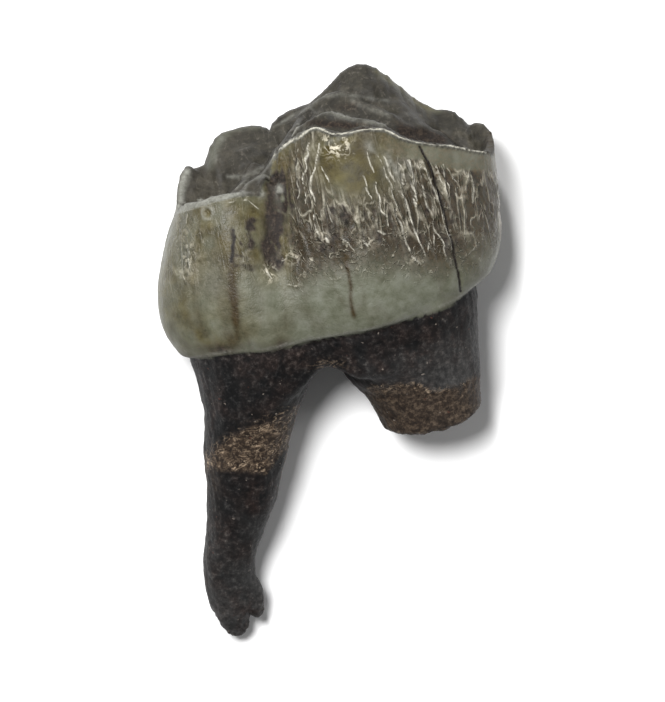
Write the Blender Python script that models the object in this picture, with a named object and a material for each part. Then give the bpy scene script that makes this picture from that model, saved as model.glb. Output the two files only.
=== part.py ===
"""Fossil deer tooth: one lower cheek tooth with two crescent lobes, high cusps along the far side, a long
left root with a broken tip and a right root broken off short.

Frame: it lies on its tongue-side wall. +X runs along the tooth row, +Y up the tooth towards the chewing surface
(turned as it was laid down), +Z up from the table. The origin is the centre of the bottom of its box, on the table.
The shape is worked out in the tooth's own axes first, in millimetres: m along the tooth row, o up the tooth from the
neck, b from the tongue side (minus) to the cheek side (plus)."""

import math

import bpy
import bmesh
import numpy as np
from mathutils import Matrix, Vector

MM = 0.001

# ---- how it lies
REST_TILT = math.radians(10.2)      # crown end raised, so that both lingual ribs and the long root's tip touch
ROW_TURN = math.radians(13.5)       # the tooth row's turn on the table
REST_FLAT = 0.14                    # mm worn off where it touches
# ---- driving sizes, mm
ROOT_TIP = -21.08                   # end of the long root
STUB_END = -8.45                    # break of the short root
CROWN_TOP = 20.0                    # height of the blank that the chewing surface is cut from
RING_POWER = 2.7                    # squareness of the crown's outline
ROOT_POWER = 2.35                   # squareness of the roots' outline
RING_POINTS = 96
VOXEL = 0.00036
TRIANGLES = 9400

# ---- outline of the crown, height against place
LEFT_END = [(-3, -10.7), (-1.4, -10.7), (0.0, -10.85), (0.5, -11.0), (1.0, -11.4), (2.05, -11.98), (3.1, -12.38),
            (4.1, -12.5), (5.1, -12.43), (6.2, -12.2), (8.2, -11.45), (10.3, -10.4), (11.9, -9.45), (12.8, -9.15),
            (14.2, -8.75), (20, -8.3)]
RIGHT_END = [(-3, 10.1), (-1.2, 10.45), (0.2, 10.85), (1.0, 11.3), (1.6, 11.9), (2.7, 12.92), (3.7, 13.5),
             (4.7, 13.88), (5.9, 14.12), (7.2, 14.35), (9.2, 14.62), (11.5, 14.9), (13, 15.1), (20, 15.3)]
FRONT_TAPER = [(-3, 0.83), (0.0, 0.87), (0.6, 0.89), (1.4, 0.94), (2.6, 0.985), (4.2, 1.0), (7, 0.985), (10, 0.945),
               (13, 0.885), (16, 0.82), (20, 0.74)]
BACK_TAPER = [(-3, 0.72), (0.0, 0.765), (0.6, 0.78), (1.4, 0.815), (3, 0.87), (6, 0.955), (9, 1.0), (12, 0.975),
              (15, 0.885), (18, 0.79), (20, 0.73)]
GROOVE_DEPTH = [(3.8, 0), (5.2, 0.25), (6.5, 0.55), (8, 0.95), (10, 1.5), (12, 2.2), (14, 2.8), (18, 3.0)]

# ---- crests of the chewing surface: (m, height as seen from 13 degrees above the cheek side)
SIGHT = math.radians(13.0)
NEAR_LEFT = [(-9.25, 11.62), (-8.9, 11.85), (-8.4, 11.95), (-7.6, 11.8), (-6.5, 11.9), (-5.5, 11.85), (-4.7, 11.8),
             (-4.1, 11.6), (-3.6, 11.25), (-3.3, 10.8)]
NEAR_RIGHT = [(-1.25, 13.8), (-0.6, 14.3), (0.3, 14.75), (1.0, 15.05), (2.0, 15.15), (2.6, 14.95), (3.2, 14.6),
              (3.9, 14.25), (4.5, 14.25), (5.3, 14.38), (6.0, 14.25), (6.8, 13.95), (7.4, 13.55), (8.0, 13.1),
              (8.7, 12.65), (9.4, 12.35), (10.4, 11.98), (11.5, 11.55), (12.5, 11.1), (13.3, 10.65), (14.1, 10.5)]
FAR_RIM = [(-7.9, 14.72), (-7.6, 14.5), (-7.0, 14.55), (-6.45, 14.65), (-6.15, 15.2), (-5.7, 15.95), (-5.25, 16.4),
           (-4.7, 16.66), (-3.5, 16.72), (-2.5, 16.68), (-1.9, 16.5), (-1.5, 16.25), (-1.25, 16.0), (-1.0, 16.05),
           (-0.8, 16.5), (-0.3, 16.85), (0.6, 17.1), (2.2, 17.3), (3.0, 17.7), (4.0, 18.3), (5.0, 18.95),
           (5.7, 19.22), (6.3, 19.3), (6.9, 19.15), (7.5, 18.75), (8.2, 18.0), (9.0, 16.95), (9.8, 15.9),
           (10.6, 15.15), (11.3, 14.6), (12.0, 14.42), (12.5, 14.15), (12.9, 13.6), (13.1, 12.95), (13.3, 12.85),
           (13.9, 12.92), (14.4, 12.75)]
# ---- inner crests and ends: (m, b, height as seen)
LEFT_RIM_END = [(-9.25, 1.0, 11.62), (-9.15, 0.3, 12.2), (-8.95, -0.5, 12.9), (-8.7, -1.4, 13.7), (-8.4, -2.1, 14.35),
                (-7.95, -2.75, 14.72)]
RIGHT_RIM_END = [(14.1, 2.3, 10.5), (14.45, 1.2, 10.75), (14.75, 0.0, 11.3), (14.95, -1.4, 12.0), (14.75, -2.6, 12.45),
                 (14.35, -3.4, 12.75)]
LEFT_FOLD = [(-5.4, -1.9, 13.5), (-4.3, -1.4, 13.15), (-2.7, -1.0, 13.08), (-1.4, 0.1, 13.6), (-1.2, 1.2, 13.8)]
CROSS_ARM = [(-1.2, 1.6, 13.8), (-0.7, 1.0, 14.2), (-0.1, 0.3, 14.85), (0.4, -0.8, 15.6), (0.9, -2.2, 16.05),
             (1.4, -3.6, 16.3)]
INNER_CREST = [(1.0, 1.1, 15.6), (2.4, 1.9, 16.05), (3.5, 2.3, 16.1), (4.5, 2.7, 15.5), (5.7, 3.2, 15.0),
               (7.3, 4.2, 13.9)]
LEDGE = [(-0.9, -4.1, 16.0), (1.0, -3.9, 16.45), (3.0, -3.5, 17.35), (4.3, -3.0, 17.55), (6.0, -2.8, 17.05)]
RIB = [(5.35, -2.4, 16.85), (6.2, -1.5, 16.2), (7.8, -0.4, 15.0)]
LEFT_FACE = [(-3.7, -4.2, 16.2), (-3.5, -2.2, 14.1), (-3.4, -1.4, 13.2)]
RIGHT_FACE = [(6.4, -4.2, 18.2), (7.5, -2.3, 15.7), (9.3, -1.3, 13.7)]
BASIN_FLOOR = [(-9, 11.4), (-6, 11.7), (-3, 11.9), (0, 13.0), (3, 14.0), (6, 13.7), (9, 11.7), (12, 10.9),
               (14.5, 10.7)]
PITS = [(-1.7, 2.9, 0.55, 0.6, 1.5), (9.9, 1.9, 1.5, 0.8, 1.7), (-6.4, 0.6, 1.8, 1.6, 0.5), (3.6, -0.4, 2.0, 0.7, 1.0),
        (-0.2, -2.4, 0.6, 1.2, 0.8)]

# ---- roots, height against centre, half width, half depth and sideways place
LONG_CENTRE = [(-22.39, -12.35), (-21.14, -12.4), (-19.88, -12.5), (-18.42, -12.3), (-16.75, -12.05),
               (-15.09, -11.73), (-13, -10.78), (-11, -9.84), (-9, -9.1), (-7, -8.5), (-5, -7.73),
               (-3, -6.85), (-1, -5.9), (1, -5.4)]
LONG_WIDTH = [(-21.14, 0.3), (-20.82, 0.75), (-20.2, 1.15), (-19.26, 1.35), (-18.42, 1.6), (-16.75, 1.9),
              (-15.09, 2.02), (-13, 2.32), (-11, 2.66), (-9, 2.95), (-7, 3.32), (-5, 3.57),
              (-3, 4), (-1, 4.7), (1, 5.2)]
LONG_DEPTH = [(-21.14, 0.3), (-20.82, 0.8), (-20.2, 1.25), (-18.74, 1.9), (-16.13, 2.35), (-13, 2.75),
              (-10, 3.3), (-7, 3.95), (-4, 4.7), (-2.5, 5.05), (-1, 5.3), (1, 5.5)]
LONG_SIDE = [(-21.34, -0.15), (-18.21, 0.1), (-15.09, 0.4), (-11, 0.7), (-6, 0.7), (-2, 0.62), (1, 0.55)]
SHORT_CENTRE = [(-10, 6), (-9, 5.85), (-7, 5.65), (-5, 5.55), (-3, 5.13), (-1, 5), (1, 5)]
SHORT_WIDTH = [(-10, 3), (-9.2, 3.35), (-8.4, 3.72), (-7, 3.96), (-5, 4.45), (-3, 5.17), (-1, 5.5), (1, 5.8)]
SHORT_DEPTH = [(-10, 3.15), (-9, 3.4), (-7, 3.85), (-5, 4.4), (-3, 4.95), (-1, 5.4), (1, 5.7)]
SHORT_SIDE = [(-10, 0.65), (-5, 0.62), (0, 0.55)]
SPUR = (-10.62, 0.6, -17.95)        # the chip of root left standing beside the broken tip
SPUR_RADII = (0.8, 1.2, 1.85)
FORK = (-1.25, -1.2)                # top of the arch between the roots


def curve(x, stations):
    """Smooth curve through its stations, held level past both ends."""
    px = np.array([p[0] for p in stations], float)
    py = np.array([p[1] for p in stations], float)
    d = np.diff(py) / np.diff(px)
    t = np.zeros(len(px))
    for i in range(1, len(px) - 1):
        if d[i - 1] * d[i] > 0:
            t[i] = 2 * d[i - 1] * d[i] / (d[i - 1] + d[i])
    t[0], t[-1] = d[0], d[-1]
    x = np.clip(np.asarray(x, float), px[0], px[-1])
    i = np.clip(np.searchsorted(px, x, "right") - 1, 0, len(px) - 2)
    w = px[i + 1] - px[i]
    s = (x - px[i]) / w
    return (py[i] * (1 + 2 * s) * (1 - s) ** 2 + t[i] * w * s * (1 - s) ** 2
            + py[i + 1] * s * s * (3 - 2 * s) - t[i + 1] * w * s * s * (1 - s))


def hump(x, centre, width):
    return np.exp(-((x - centre) / width) ** 2)


def ramp(x, a, b):
    t = np.clip((x - a) / (b - a), 0, 1)
    return t * t * (3 - 2 * t)


# ------------------------------------------------------------------ crown
def cheek_depth(m, o):
    """The cheek side: two lobes with the groove between them."""
    lobes = 6.35 + 0.75 * hump(m, -6.2, 3.2) + 1.45 * hump(m, 3.4, 4.6) + 0.2 * hump(m, 11, 3) - 0.35 * hump(m, -2.6, 1.7)
    x = (m + 3.5 - (o - 5) * 0.27) / (0.95 + 0.10 * np.clip(o - 5, 0, 9))
    groove = curve(o, GROOVE_DEPTH) * (0.6 / (1 + np.abs(x) ** 2.4) + 0.4 / (1 + (x / 2.4) ** 4))
    return lobes * curve(o, FRONT_TAPER) - groove


def tongue_depth(m, o):
    """The tongue side: a flatter wall with its upright ribs."""
    top = ramp(o, 1.5, 7)
    ribs = top * (0.38 * hump(m, 6.2, 1.9) + 0.34 * hump(m, -3.6, 1.7) + 0.22 * hump(m, 12.0, 0.9)
                  + 0.15 * hump(m, 0.9, 0.7) + 0.2 * hump(m, -7.9, 0.9))
    folds = (0.12 + 0.5 * top) * hump(m, -1.15, 0.75) + 0.3 * top * hump(m, 13.1, 0.6) + 0.25 * top * hump(m, -6.4, 0.7)
    return (6.35 + ribs - folds) * curve(o, BACK_TAPER)


def ends(o):
    left, right = curve(o, LEFT_END), curve(o, RIGHT_END)
    return (left + right) / 2, (right - left) / 2


def crown_ring(o, scale=1.0):
    """One level ring of the crown's wall as rows of (m, b)."""
    a = np.arange(RING_POINTS) * 2 * np.pi / RING_POINTS
    centre, half = ends(o)
    m = centre + half * np.sign(np.cos(a)) * np.abs(np.cos(a)) ** (2 / RING_POWER)
    s = np.abs(np.sin(a)) ** (2 / RING_POWER)
    b = np.where(np.sin(a) > 0, cheek_depth(m, o), -tongue_depth(m, o)) * s
    return np.stack([centre + (m - centre) * scale, b * scale], 1)


def neck_line(m):
    """Height of the enamel's lower edge."""
    return 0.95 - 0.25 * hump(m, -9, 3) + 0.75 * ramp(m, 8.5, 12.5)


def loft(rings):
    """Closed skin over rings of (m, b, o) rows, lowest ring first."""
    bm = bmesh.new()
    rows = [[bm.verts.new((p[0] * MM, p[2] * MM, p[1] * MM)) for p in ring] for ring in rings]
    n = len(rows[0])
    for low, high in zip(rows[:-1], rows[1:]):
        for i in range(n):
            j = (i + 1) % n
            bm.faces.new((low[i], low[j], high[j], high[i]))
    bm.faces.new(rows[0])
    bm.faces.new(rows[-1])
    bmesh.ops.recalc_face_normals(bm, faces=bm.faces)
    mesh = bpy.data.meshes.new("skin")
    bm.to_mesh(mesh)
    bm.free()
    return mesh


def crown_blank():
    lip = [(0.90, 0.42), (0.955, 0.12), (0.985, 0.05), (1.0, 0.28)]
    rings = []
    for scale, rise in lip:
        flat = crown_ring(0.95 + rise, scale)
        rings.append(np.column_stack([flat, neck_line(flat[:, 0]) + rise]))
    for o in np.arange(1.9, CROWN_TOP + 0.01, 0.6):
        flat = crown_ring(o)
        lift = (neck_line(flat[:, 0]) - 0.95) * max(0.0, 1 - (o - 1.2) / 3.0)
        rings.append(np.column_stack([flat, o + lift]))
    return loft(rings)


def neck_block():
    """The root trunk under the enamel, arched between the two roots."""
    rings = []
    flat = crown_ring(0.2)
    low = FORK[1] - 1.9 * (1 - np.exp(-0.3 * (flat[:, 0] - FORK[0]) ** 2))
    for s in np.linspace(0, 1, 9):
        waist = 1 - 0.17 * max(0.0, 1 - s / 0.55) ** 1.6
        rings.append(np.column_stack([crown_ring(0.4 - 2.6 * (1 - s), waist), low + (2.6 - low) * s]))
    return loft(rings)


# ------------------------------------------------------------------ chewing surface
def rim(points, side, inset):
    """Crest of the rim: the wall's own place at the height that is seen there."""
    out = []
    for m, y in points:
        o = y
        for _ in range(6):
            centre, half = ends(o)
            t = min(abs((m - centre) / half), 0.999)
            k = (1 - t ** RING_POWER) ** (1 / RING_POWER)
            wall = (cheek_depth(m, o) if side > 0 else -tongue_depth(m, o)) * k
            o = (y + wall * math.sin(SIGHT)) / math.cos(SIGHT)
        out.append((m, float(wall) - side * inset, float(o)))
    return out


def seen(points):
    return [(m, b, (y + b * math.sin(SIGHT)) / math.cos(SIGHT)) for m, b, y in points]


def chewing_height(m, b):
    """Height of the chewing surface: the highest of its crests' flanks, less its pits."""
    crests = [(rim(NEAR_LEFT, 1, 0.30), 0.26, 1.5, 2.6, 1.0), (rim(NEAR_RIGHT, 1, 0.30), 0.16, 1.5, 2.8, 1.0),
              (rim(FAR_RIM, -1, 0.32), 0.22, 0.85, 3.6, 2.4), (seen(LEFT_RIM_END), 0.24, 1.6, 2.4, 1.0),
              (seen(RIGHT_RIM_END), 0.2, 1.3, 2.4, 1.0), (seen(LEFT_FOLD), 0.12, 1.2, 1.6, 1.0),
              (seen(CROSS_ARM), 0.2, 1.4, 2.6, 1.0), (seen(INNER_CREST), 0.14, 1.5, 3.0, 1.0),
              (seen(LEDGE), 0.16, 1.2, 2.4, 1.3), (seen(RIB), 0.2, 1.3, 2.0, 1.3),
              (seen(LEFT_FACE), 0.9, 0.9, 2.4, 1.0), (seen(RIGHT_FACE), 0.45, 0.9, 2.4, 1.0)]
    blend = 0.10
    total = np.exp((curve(m, BASIN_FLOOR) - 12) / blend)
    for line, flat, steep, fall, squeeze in crests:
        best = np.full(m.shape, -1e9)
        for (m0, b0, o0), (m1, b1, o1) in zip(line[:-1], line[1:]):
            dm, db = m1 - m0, b1 - b0
            q = squeeze * squeeze
            t = np.clip(((m - m0) * dm * q + (b - b0) * db) / (dm * dm * q + db * db), 0, 1)
            d = np.hypot((m - m0 - t * dm) * squeeze, b - b0 - t * db)
            e = np.sqrt(np.maximum(d - flat, 0) ** 2 + 0.03) - math.sqrt(0.03)
            h = o0 + t * (o1 - o0) - fall * (1 - np.exp(-steep * e / fall)) - 0.9 * np.maximum(d - 1.9, 0) ** 1.25
            best = np.maximum(best, h)
        total += np.exp(np.clip((best - 12) / blend, -120, 120))
    height = 12 + blend * np.log(total)
    for pm, pb, wm, wb, deep in PITS:
        height = height - deep * np.exp(-((m - pm) / wm) ** 2 - ((b - pb) / wb) ** 2)
    return height


def chewing_cutter():
    """Block whose underside is the chewing surface."""
    gm, gb = np.arange(-11.5, 17.6, 0.32), np.arange(-8.6, 9.7, 0.32)
    m, b = np.meshgrid(gm, gb, indexing="ij")
    h = chewing_height(m, b)
    bm = bmesh.new()
    low = [[bm.verts.new((m[i, j] * MM, h[i, j] * MM, b[i, j] * MM)) for j in range(len(gb))] for i in range(len(gm))]
    top = 24 * MM
    high = {}
    edge = ([(i, 0) for i in range(len(gm) - 1)] + [(len(gm) - 1, j) for j in range(len(gb) - 1)]
            + [(i, len(gb) - 1) for i in range(len(gm) - 1, 0, -1)] + [(0, j) for j in range(len(gb) - 1, 0, -1)])
    for i, j in edge:
        high[i, j] = bm.verts.new((m[i, j] * MM, top, b[i, j] * MM))
    for i in range(len(gm) - 1):
        for j in range(len(gb) - 1):
            bm.faces.new((low[i][j], low[i + 1][j], low[i + 1][j + 1], low[i][j + 1]))
    for k, (i, j) in enumerate(edge):
        i2, j2 = edge[(k + 1) % len(edge)]
        bm.faces.new((low[i][j], low[i2][j2], high[i2, j2], high[i, j]))
    bm.faces.new([high[e] for e in edge])
    bmesh.ops.recalc_face_normals(bm, faces=bm.faces)
    mesh = bpy.data.meshes.new("cutter")
    bm.to_mesh(mesh)
    bm.free()
    return mesh


# ------------------------------------------------------------------ roots
def root_ring(o, centre, width, depth, side):
    a = np.arange(RING_POINTS // 2) * 4 * np.pi / RING_POINTS
    m = curve(o, centre) + curve(o, width) * np.sign(np.cos(a)) * np.abs(np.cos(a)) ** (2 / ROOT_POWER)
    b = curve(o, side) + curve(o, depth) * np.sign(np.sin(a)) * np.abs(np.sin(a)) ** (2 / ROOT_POWER)
    return m, b


def long_root():
    rings = []
    for o in np.concatenate([[ROOT_TIP, -20.83, -20.5], np.arange(-20.1, 2.01, 0.65)]):
        m, b = root_ring(o, LONG_CENTRE, LONG_WIDTH, LONG_DEPTH, LONG_SIDE)
        m = np.maximum(m, -14.3 - 0.367 * (o + 17.25))       # the slanting break on the tip's left
        rings.append(np.column_stack([m, b, np.full(len(m), o)]))
    return loft(rings)


def short_root():
    rings = []
    for o in np.concatenate([[STUB_END - 0.6, STUB_END - 0.3, STUB_END], np.arange(-8.0, 2.01, 0.8)]):
        m, b = root_ring(o, SHORT_CENTRE, SHORT_WIDTH, SHORT_DEPTH, SHORT_SIDE)
        inset = 1 - 0.16 * max(0.0, (STUB_END + 0.1 - o) / 0.7)
        c, s = curve(o, SHORT_CENTRE), curve(o, SHORT_SIDE)
        m, b = c + (m - c) * inset, s + (b - s) * inset
        height = np.maximum(o, STUB_END + 0.045 * (m - 5.6) ** 2 + (o - STUB_END) * 0.25)
        rings.append(np.column_stack([m, b, height]))
    return loft(rings)


def spur():
    mesh = bpy.data.meshes.new("spur")
    bm = bmesh.new()
    bmesh.ops.create_uvsphere(bm, u_segments=24, v_segments=16, radius=1.0)
    place = Matrix.Translation((SPUR[0] * MM, SPUR[2] * MM, SPUR[1] * MM))
    size = Matrix.Diagonal((SPUR_RADII[0] * MM, SPUR_RADII[2] * MM, SPUR_RADII[1] * MM, 1.0))
    bmesh.ops.transform(bm, matrix=place @ size, verts=bm.verts)
    bm.to_mesh(mesh)
    bm.free()
    return mesh


# ------------------------------------------------------------------ building
def add_object(name, mesh, guide=False):
    obj = bpy.data.objects.new(name, mesh)
    bpy.context.scene.collection.objects.link(obj)
    if guide:
        obj.hide_render = True
        obj.display_type = "WIRE"
    return obj


def boolean(obj, operation, tool):
    mod = obj.modifiers.new(operation.lower(), "BOOLEAN")
    mod.operation = operation
    mod.solver = "EXACT"
    mod.object = tool


def bake(obj):
    """Keeps what the modifiers made as the object's own mesh."""
    bpy.context.view_layer.update()
    graph = bpy.context.evaluated_depsgraph_get()
    mesh = bpy.data.meshes.new_from_object(obj.evaluated_get(graph))
    obj.modifiers.clear()
    obj.data = mesh
    return mesh


def points_of(mesh):
    co = np.empty(len(mesh.vertices) * 3)
    mesh.vertices.foreach_get("co", co)
    return co.reshape(-1, 3)


def tooth_material():
    mat = bpy.data.materials.new("fossil_tooth")
    mat.use_nodes = True
    shader = mat.node_tree.nodes["Principled BSDF"]
    shader.inputs["Base Color"].default_value = (0.125, 0.120, 0.095, 1)
    shader.inputs["Roughness"].default_value = 0.42
    shader.inputs["Metallic"].default_value = 0.0
    return mat


def build():
    for obj in list(bpy.data.objects):
        bpy.data.objects.remove(obj, do_unlink=True)

    tooth = add_object("tooth", crown_blank())
    boolean(tooth, "DIFFERENCE", add_object("chewing_surface_cutter", chewing_cutter(), guide=True))
    for name, mesh in (("neck_guide", neck_block()), ("long_root_guide", long_root()), ("short_root_guide", short_root()),
                       ("spur_guide", spur())):
        boolean(tooth, "UNION", add_object(name, mesh, guide=True))
    remesh = tooth.modifiers.new("grain", "REMESH")
    remesh.mode = "VOXEL"
    remesh.voxel_size = VOXEL
    smooth = tooth.modifiers.new("worn", "SMOOTH")
    smooth.factor = 0.5
    smooth.iterations = 5
    mesh = bake(tooth)

    faces = sum(len(p.vertices) - 2 for p in mesh.polygons)
    thin = tooth.modifiers.new("facets", "DECIMATE")
    thin.decimate_type = "COLLAPSE"
    thin.ratio = TRIANGLES / faces
    mesh = bake(tooth)

    # laid down on the table: tipped, turned, then moved so that the worn flats are at z = 0
    mesh.transform(Matrix.Rotation(ROW_TURN, 4, "Z") @ Matrix.Rotation(REST_TILT, 4, "X"))
    low = points_of(mesh).min(0)
    table = bpy.data.meshes.new("table")
    bm = bmesh.new()
    bmesh.ops.create_cube(bm, size=1.0)
    bmesh.ops.transform(bm, matrix=Matrix.Translation((0, 0, low[2] + REST_FLAT * MM - 0.005))
                        @ Matrix.Diagonal((0.1, 0.1, 0.010, 1.0)), verts=bm.verts)
    bm.to_mesh(table)
    bm.free()
    boolean(tooth, "DIFFERENCE", add_object("table_cutter", table, guide=True))
    mesh = bake(tooth)
    co = points_of(mesh)
    lo, hi = co.min(0), co.max(0)
    mesh.transform(Matrix.Translation((-(lo[0] + hi[0]) / 2, -(lo[1] + hi[1]) / 2, -lo[2])))

    mesh.materials.clear()
    mesh.materials.append(tooth_material())
    mesh.shade_smooth()
    mesh.set_sharp_from_angle(angle=math.radians(60))
    for obj in list(bpy.data.objects):
        if obj is not tooth:
            bpy.data.objects.remove(obj, do_unlink=True)
    tooth.name = "tooth"


build()
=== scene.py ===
import math

import bpy
import numpy as np
from mathutils import Matrix, Vector


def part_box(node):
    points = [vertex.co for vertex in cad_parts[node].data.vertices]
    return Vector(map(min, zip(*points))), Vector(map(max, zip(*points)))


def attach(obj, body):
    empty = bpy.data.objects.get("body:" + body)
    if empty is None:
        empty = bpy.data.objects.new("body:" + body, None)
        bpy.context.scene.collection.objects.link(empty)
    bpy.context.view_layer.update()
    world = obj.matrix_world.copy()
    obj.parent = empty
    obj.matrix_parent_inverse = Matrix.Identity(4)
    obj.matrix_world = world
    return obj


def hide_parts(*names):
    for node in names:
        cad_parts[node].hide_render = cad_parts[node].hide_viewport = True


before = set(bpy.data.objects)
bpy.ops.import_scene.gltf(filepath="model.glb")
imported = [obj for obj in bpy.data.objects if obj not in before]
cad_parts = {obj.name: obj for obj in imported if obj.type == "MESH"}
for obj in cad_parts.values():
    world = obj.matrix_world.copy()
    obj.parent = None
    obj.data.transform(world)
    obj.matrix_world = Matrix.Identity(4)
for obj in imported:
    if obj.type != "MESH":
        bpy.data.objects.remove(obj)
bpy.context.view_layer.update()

# The fine surface of the fossil tooth is worked out as a field in the tooth's own axes, in millimetres:
# m along the tooth row, o up the tooth from the neck, b from the tongue side (minus) to the cheek side (plus).

# ---------------------------------------------------------------- helpers
def curve(x, pts):
    """Smooth curve through (x, y) stations, held level past both ends."""
    px = np.array([p[0] for p in pts], float)
    py = np.array([p[1] for p in pts], float)
    d = np.diff(py) / np.diff(px)
    t = np.zeros(len(px))
    for i in range(1, len(px) - 1):
        if d[i - 1] * d[i] > 0:
            t[i] = 2 * d[i - 1] * d[i] / (d[i - 1] + d[i])
    t[0], t[-1] = d[0], d[-1]
    x = np.clip(np.asarray(x, float), px[0], px[-1])
    i = np.clip(np.searchsorted(px, x, "right") - 1, 0, len(px) - 2)
    w = px[i + 1] - px[i]
    s = (x - px[i]) / w
    return (py[i] * (1 + 2 * s) * (1 - s) ** 2 + t[i] * w * s * (1 - s) ** 2
            + py[i + 1] * s * s * (3 - 2 * s) - t[i + 1] * w * s * s * (1 - s))

def smin(a, b, k):
    h = np.clip(0.5 + 0.5 * (b - a) / k, 0, 1)
    return b * (1 - h) + a * h - k * h * (1 - h)

def smax(a, b, k):
    return -smin(-a, -b, k)

def bump(x, c, w):
    return np.exp(-((x - c) / w) ** 2)

def step(x, a, b):
    t = np.clip((x - a) / (b - a), 0, 1)
    return t * t * (3 - 2 * t)

# ---------------------------------------------------------------- crown wall
ALPHA = np.radians(13.0)
SA, CA = np.sin(ALPHA), np.cos(ALPHA)

LEFT = [(-3, -10.7), (-1.4, -10.7), (0.0, -10.85), (0.5, -11.0), (1.0, -11.4), (2.05, -11.98), (3.1, -12.38), (4.1, -12.5),
        (5.1, -12.43), (6.2, -12.2), (8.2, -11.45), (10.3, -10.4), (11.9, -9.45), (12.8, -9.15), (14.2, -8.75), (20, -8.3)]
RIGHT = [(-3, 10.1), (-1.2, 10.45), (0.2, 10.85), (1.0, 11.3), (1.6, 11.9), (2.7, 12.92), (3.7, 13.5), (4.7, 13.88), (5.9, 14.12),
         (7.2, 14.35), (9.2, 14.62), (11.5, 14.9), (13, 15.1), (20, 15.3)]
FRONT_SCALE = [(-3, 0.83), (0.0, 0.87), (0.6, 0.89), (1.4, 0.94), (2.6, 0.985), (4.2, 1.0), (7, 0.985), (10, 0.945), (13, 0.885), (16, 0.82), (20, 0.74)]
BACK_SCALE = [(-3, 0.72), (0.0, 0.765), (0.6, 0.78), (1.4, 0.815), (3, 0.87), (6, 0.955), (9, 1.0), (12, 0.975), (15, 0.885), (18, 0.79), (20, 0.73)]
GROOVE = [(3.8, 0), (5.2, 0.25), (6.5, 0.55), (8, 0.95), (10, 1.5), (12, 2.2), (14, 2.8), (18, 3.0)]
N_RING = 2.7

def groove_m(o):
    return -3.5 + (o - 5) * 0.27

def front(m, o):
    lobes = 6.35 + 0.75 * bump(m, -6.2, 3.2) + 1.45 * bump(m, 3.4, 4.6) + 0.2 * bump(m, 11, 3)
    lobes = lobes - 0.35 * bump(m, -2.6, 1.7)
    w = 0.95 + 0.10 * np.clip(o - 5, 0, 9)
    x = (m - groove_m(o)) / w
    g = curve(o, GROOVE) * (0.6 / (1 + np.abs(x) ** 2.4) + 0.4 / (1 + (x / 2.4) ** 4))
    return lobes * curve(o, FRONT_SCALE) - g

def back(m, o):
    top = step(o, 1.5, 7)
    lobes = 6.35 + top * (0.38 * bump(m, 6.2, 1.9) + 0.34 * bump(m, -3.6, 1.7) + 0.22 * bump(m, 12.0, 0.9) + 0.15 * bump(m, 0.9, 0.7)
                          + 0.2 * bump(m, -7.9, 0.9)) - (0.12 + 0.5 * top) * bump(m, -1.15, 0.75) - 0.3 * top * bump(m, 13.1, 0.6) - 0.25 * top * bump(m, -6.4, 0.7)
    return lobes * curve(o, BACK_SCALE)

def crown_side(m, b, o):
    L, R = curve(o, LEFT), curve(o, RIGHT)
    c, h = (L + R) / 2, (R - L) / 2
    t = (m - c) / h
    B = np.where(b > 0, front(m, o), back(m, o))
    q = (np.abs(t) ** N_RING + np.abs(b / B) ** N_RING) ** (1 / N_RING)
    return (q - 1) * np.minimum(h, B)

def wall_b(m, o, sign):
    """How far out the wall is at m, at height o; sign is +1 for the cheek side and -1 for the tongue side."""
    L, R = curve(o, LEFT), curve(o, RIGHT)
    c, h = (L + R) / 2, (R - L) / 2
    t = np.clip(np.abs((m - c) / h), 0, 0.999)
    k = (1 - t ** N_RING) ** (1 / N_RING)
    return (front(m, o) if sign > 0 else -back(m, o)) * k

# ---------------------------------------------------------------- chewing surface
# (m, y seen): the near rim and the far rim as seen along the view
NEAR_LEFT = [(-9.25, 11.62), (-8.9, 11.85), (-8.4, 11.95), (-7.6, 11.8), (-6.5, 11.9), (-5.5, 11.85), (-4.7, 11.8), (-4.1, 11.6), (-3.6, 11.25), (-3.3, 10.8)]
NEAR_RIGHT = [(-1.25, 13.8), (-0.6, 14.3), (0.3, 14.75), (1.0, 15.05), (2.0, 15.15), (2.6, 14.95), (3.2, 14.6), (3.9, 14.25), (4.5, 14.25), (5.3, 14.38),
              (6.0, 14.25), (6.8, 13.95), (7.4, 13.55), (8.0, 13.1), (8.7, 12.65), (9.4, 12.35), (10.4, 11.98), (11.5, 11.55), (12.5, 11.1), (13.3, 10.65), (14.1, 10.5)]
FAR_RIM = [(-7.9, 14.72), (-7.6, 14.5), (-7.0, 14.55), (-6.45, 14.65), (-6.15, 15.2), (-5.7, 15.95), (-5.25, 16.4), (-4.7, 16.66), (-3.5, 16.72), (-2.5, 16.68), (-1.9, 16.5),
           (-1.5, 16.25), (-1.25, 16.0), (-1.0, 16.05), (-0.8, 16.5), (-0.3, 16.85), (0.6, 17.1), (2.2, 17.3), (3.0, 17.7), (4.0, 18.3), (5.0, 18.95), (5.7, 19.22), (6.3, 19.3),
           (6.9, 19.15), (7.5, 18.75), (8.2, 18.0), (9.0, 16.95), (9.8, 15.9), (10.6, 15.15), (11.3, 14.6), (12.0, 14.42), (12.5, 14.15), (12.9, 13.6), (13.1, 12.95), (13.3, 12.85), (13.9, 12.92), (14.4, 12.75)]

def rim(points, sign, inset):
    """The rim's crest (m, b, height): the wall's own place at the height seen there."""
    out = []
    for m, y in points:
        o = y
        for _ in range(6):
            b = wall_b(m, o, sign) - sign * inset
            o = (y + (b + sign * inset) * SA) / CA
        out.append((m, b, o))
    return out

def seen(points):
    """Crest points given as (m, b, y seen)."""
    return [(m, b, (y + b * SA) / CA) for m, b, y in points]

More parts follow.
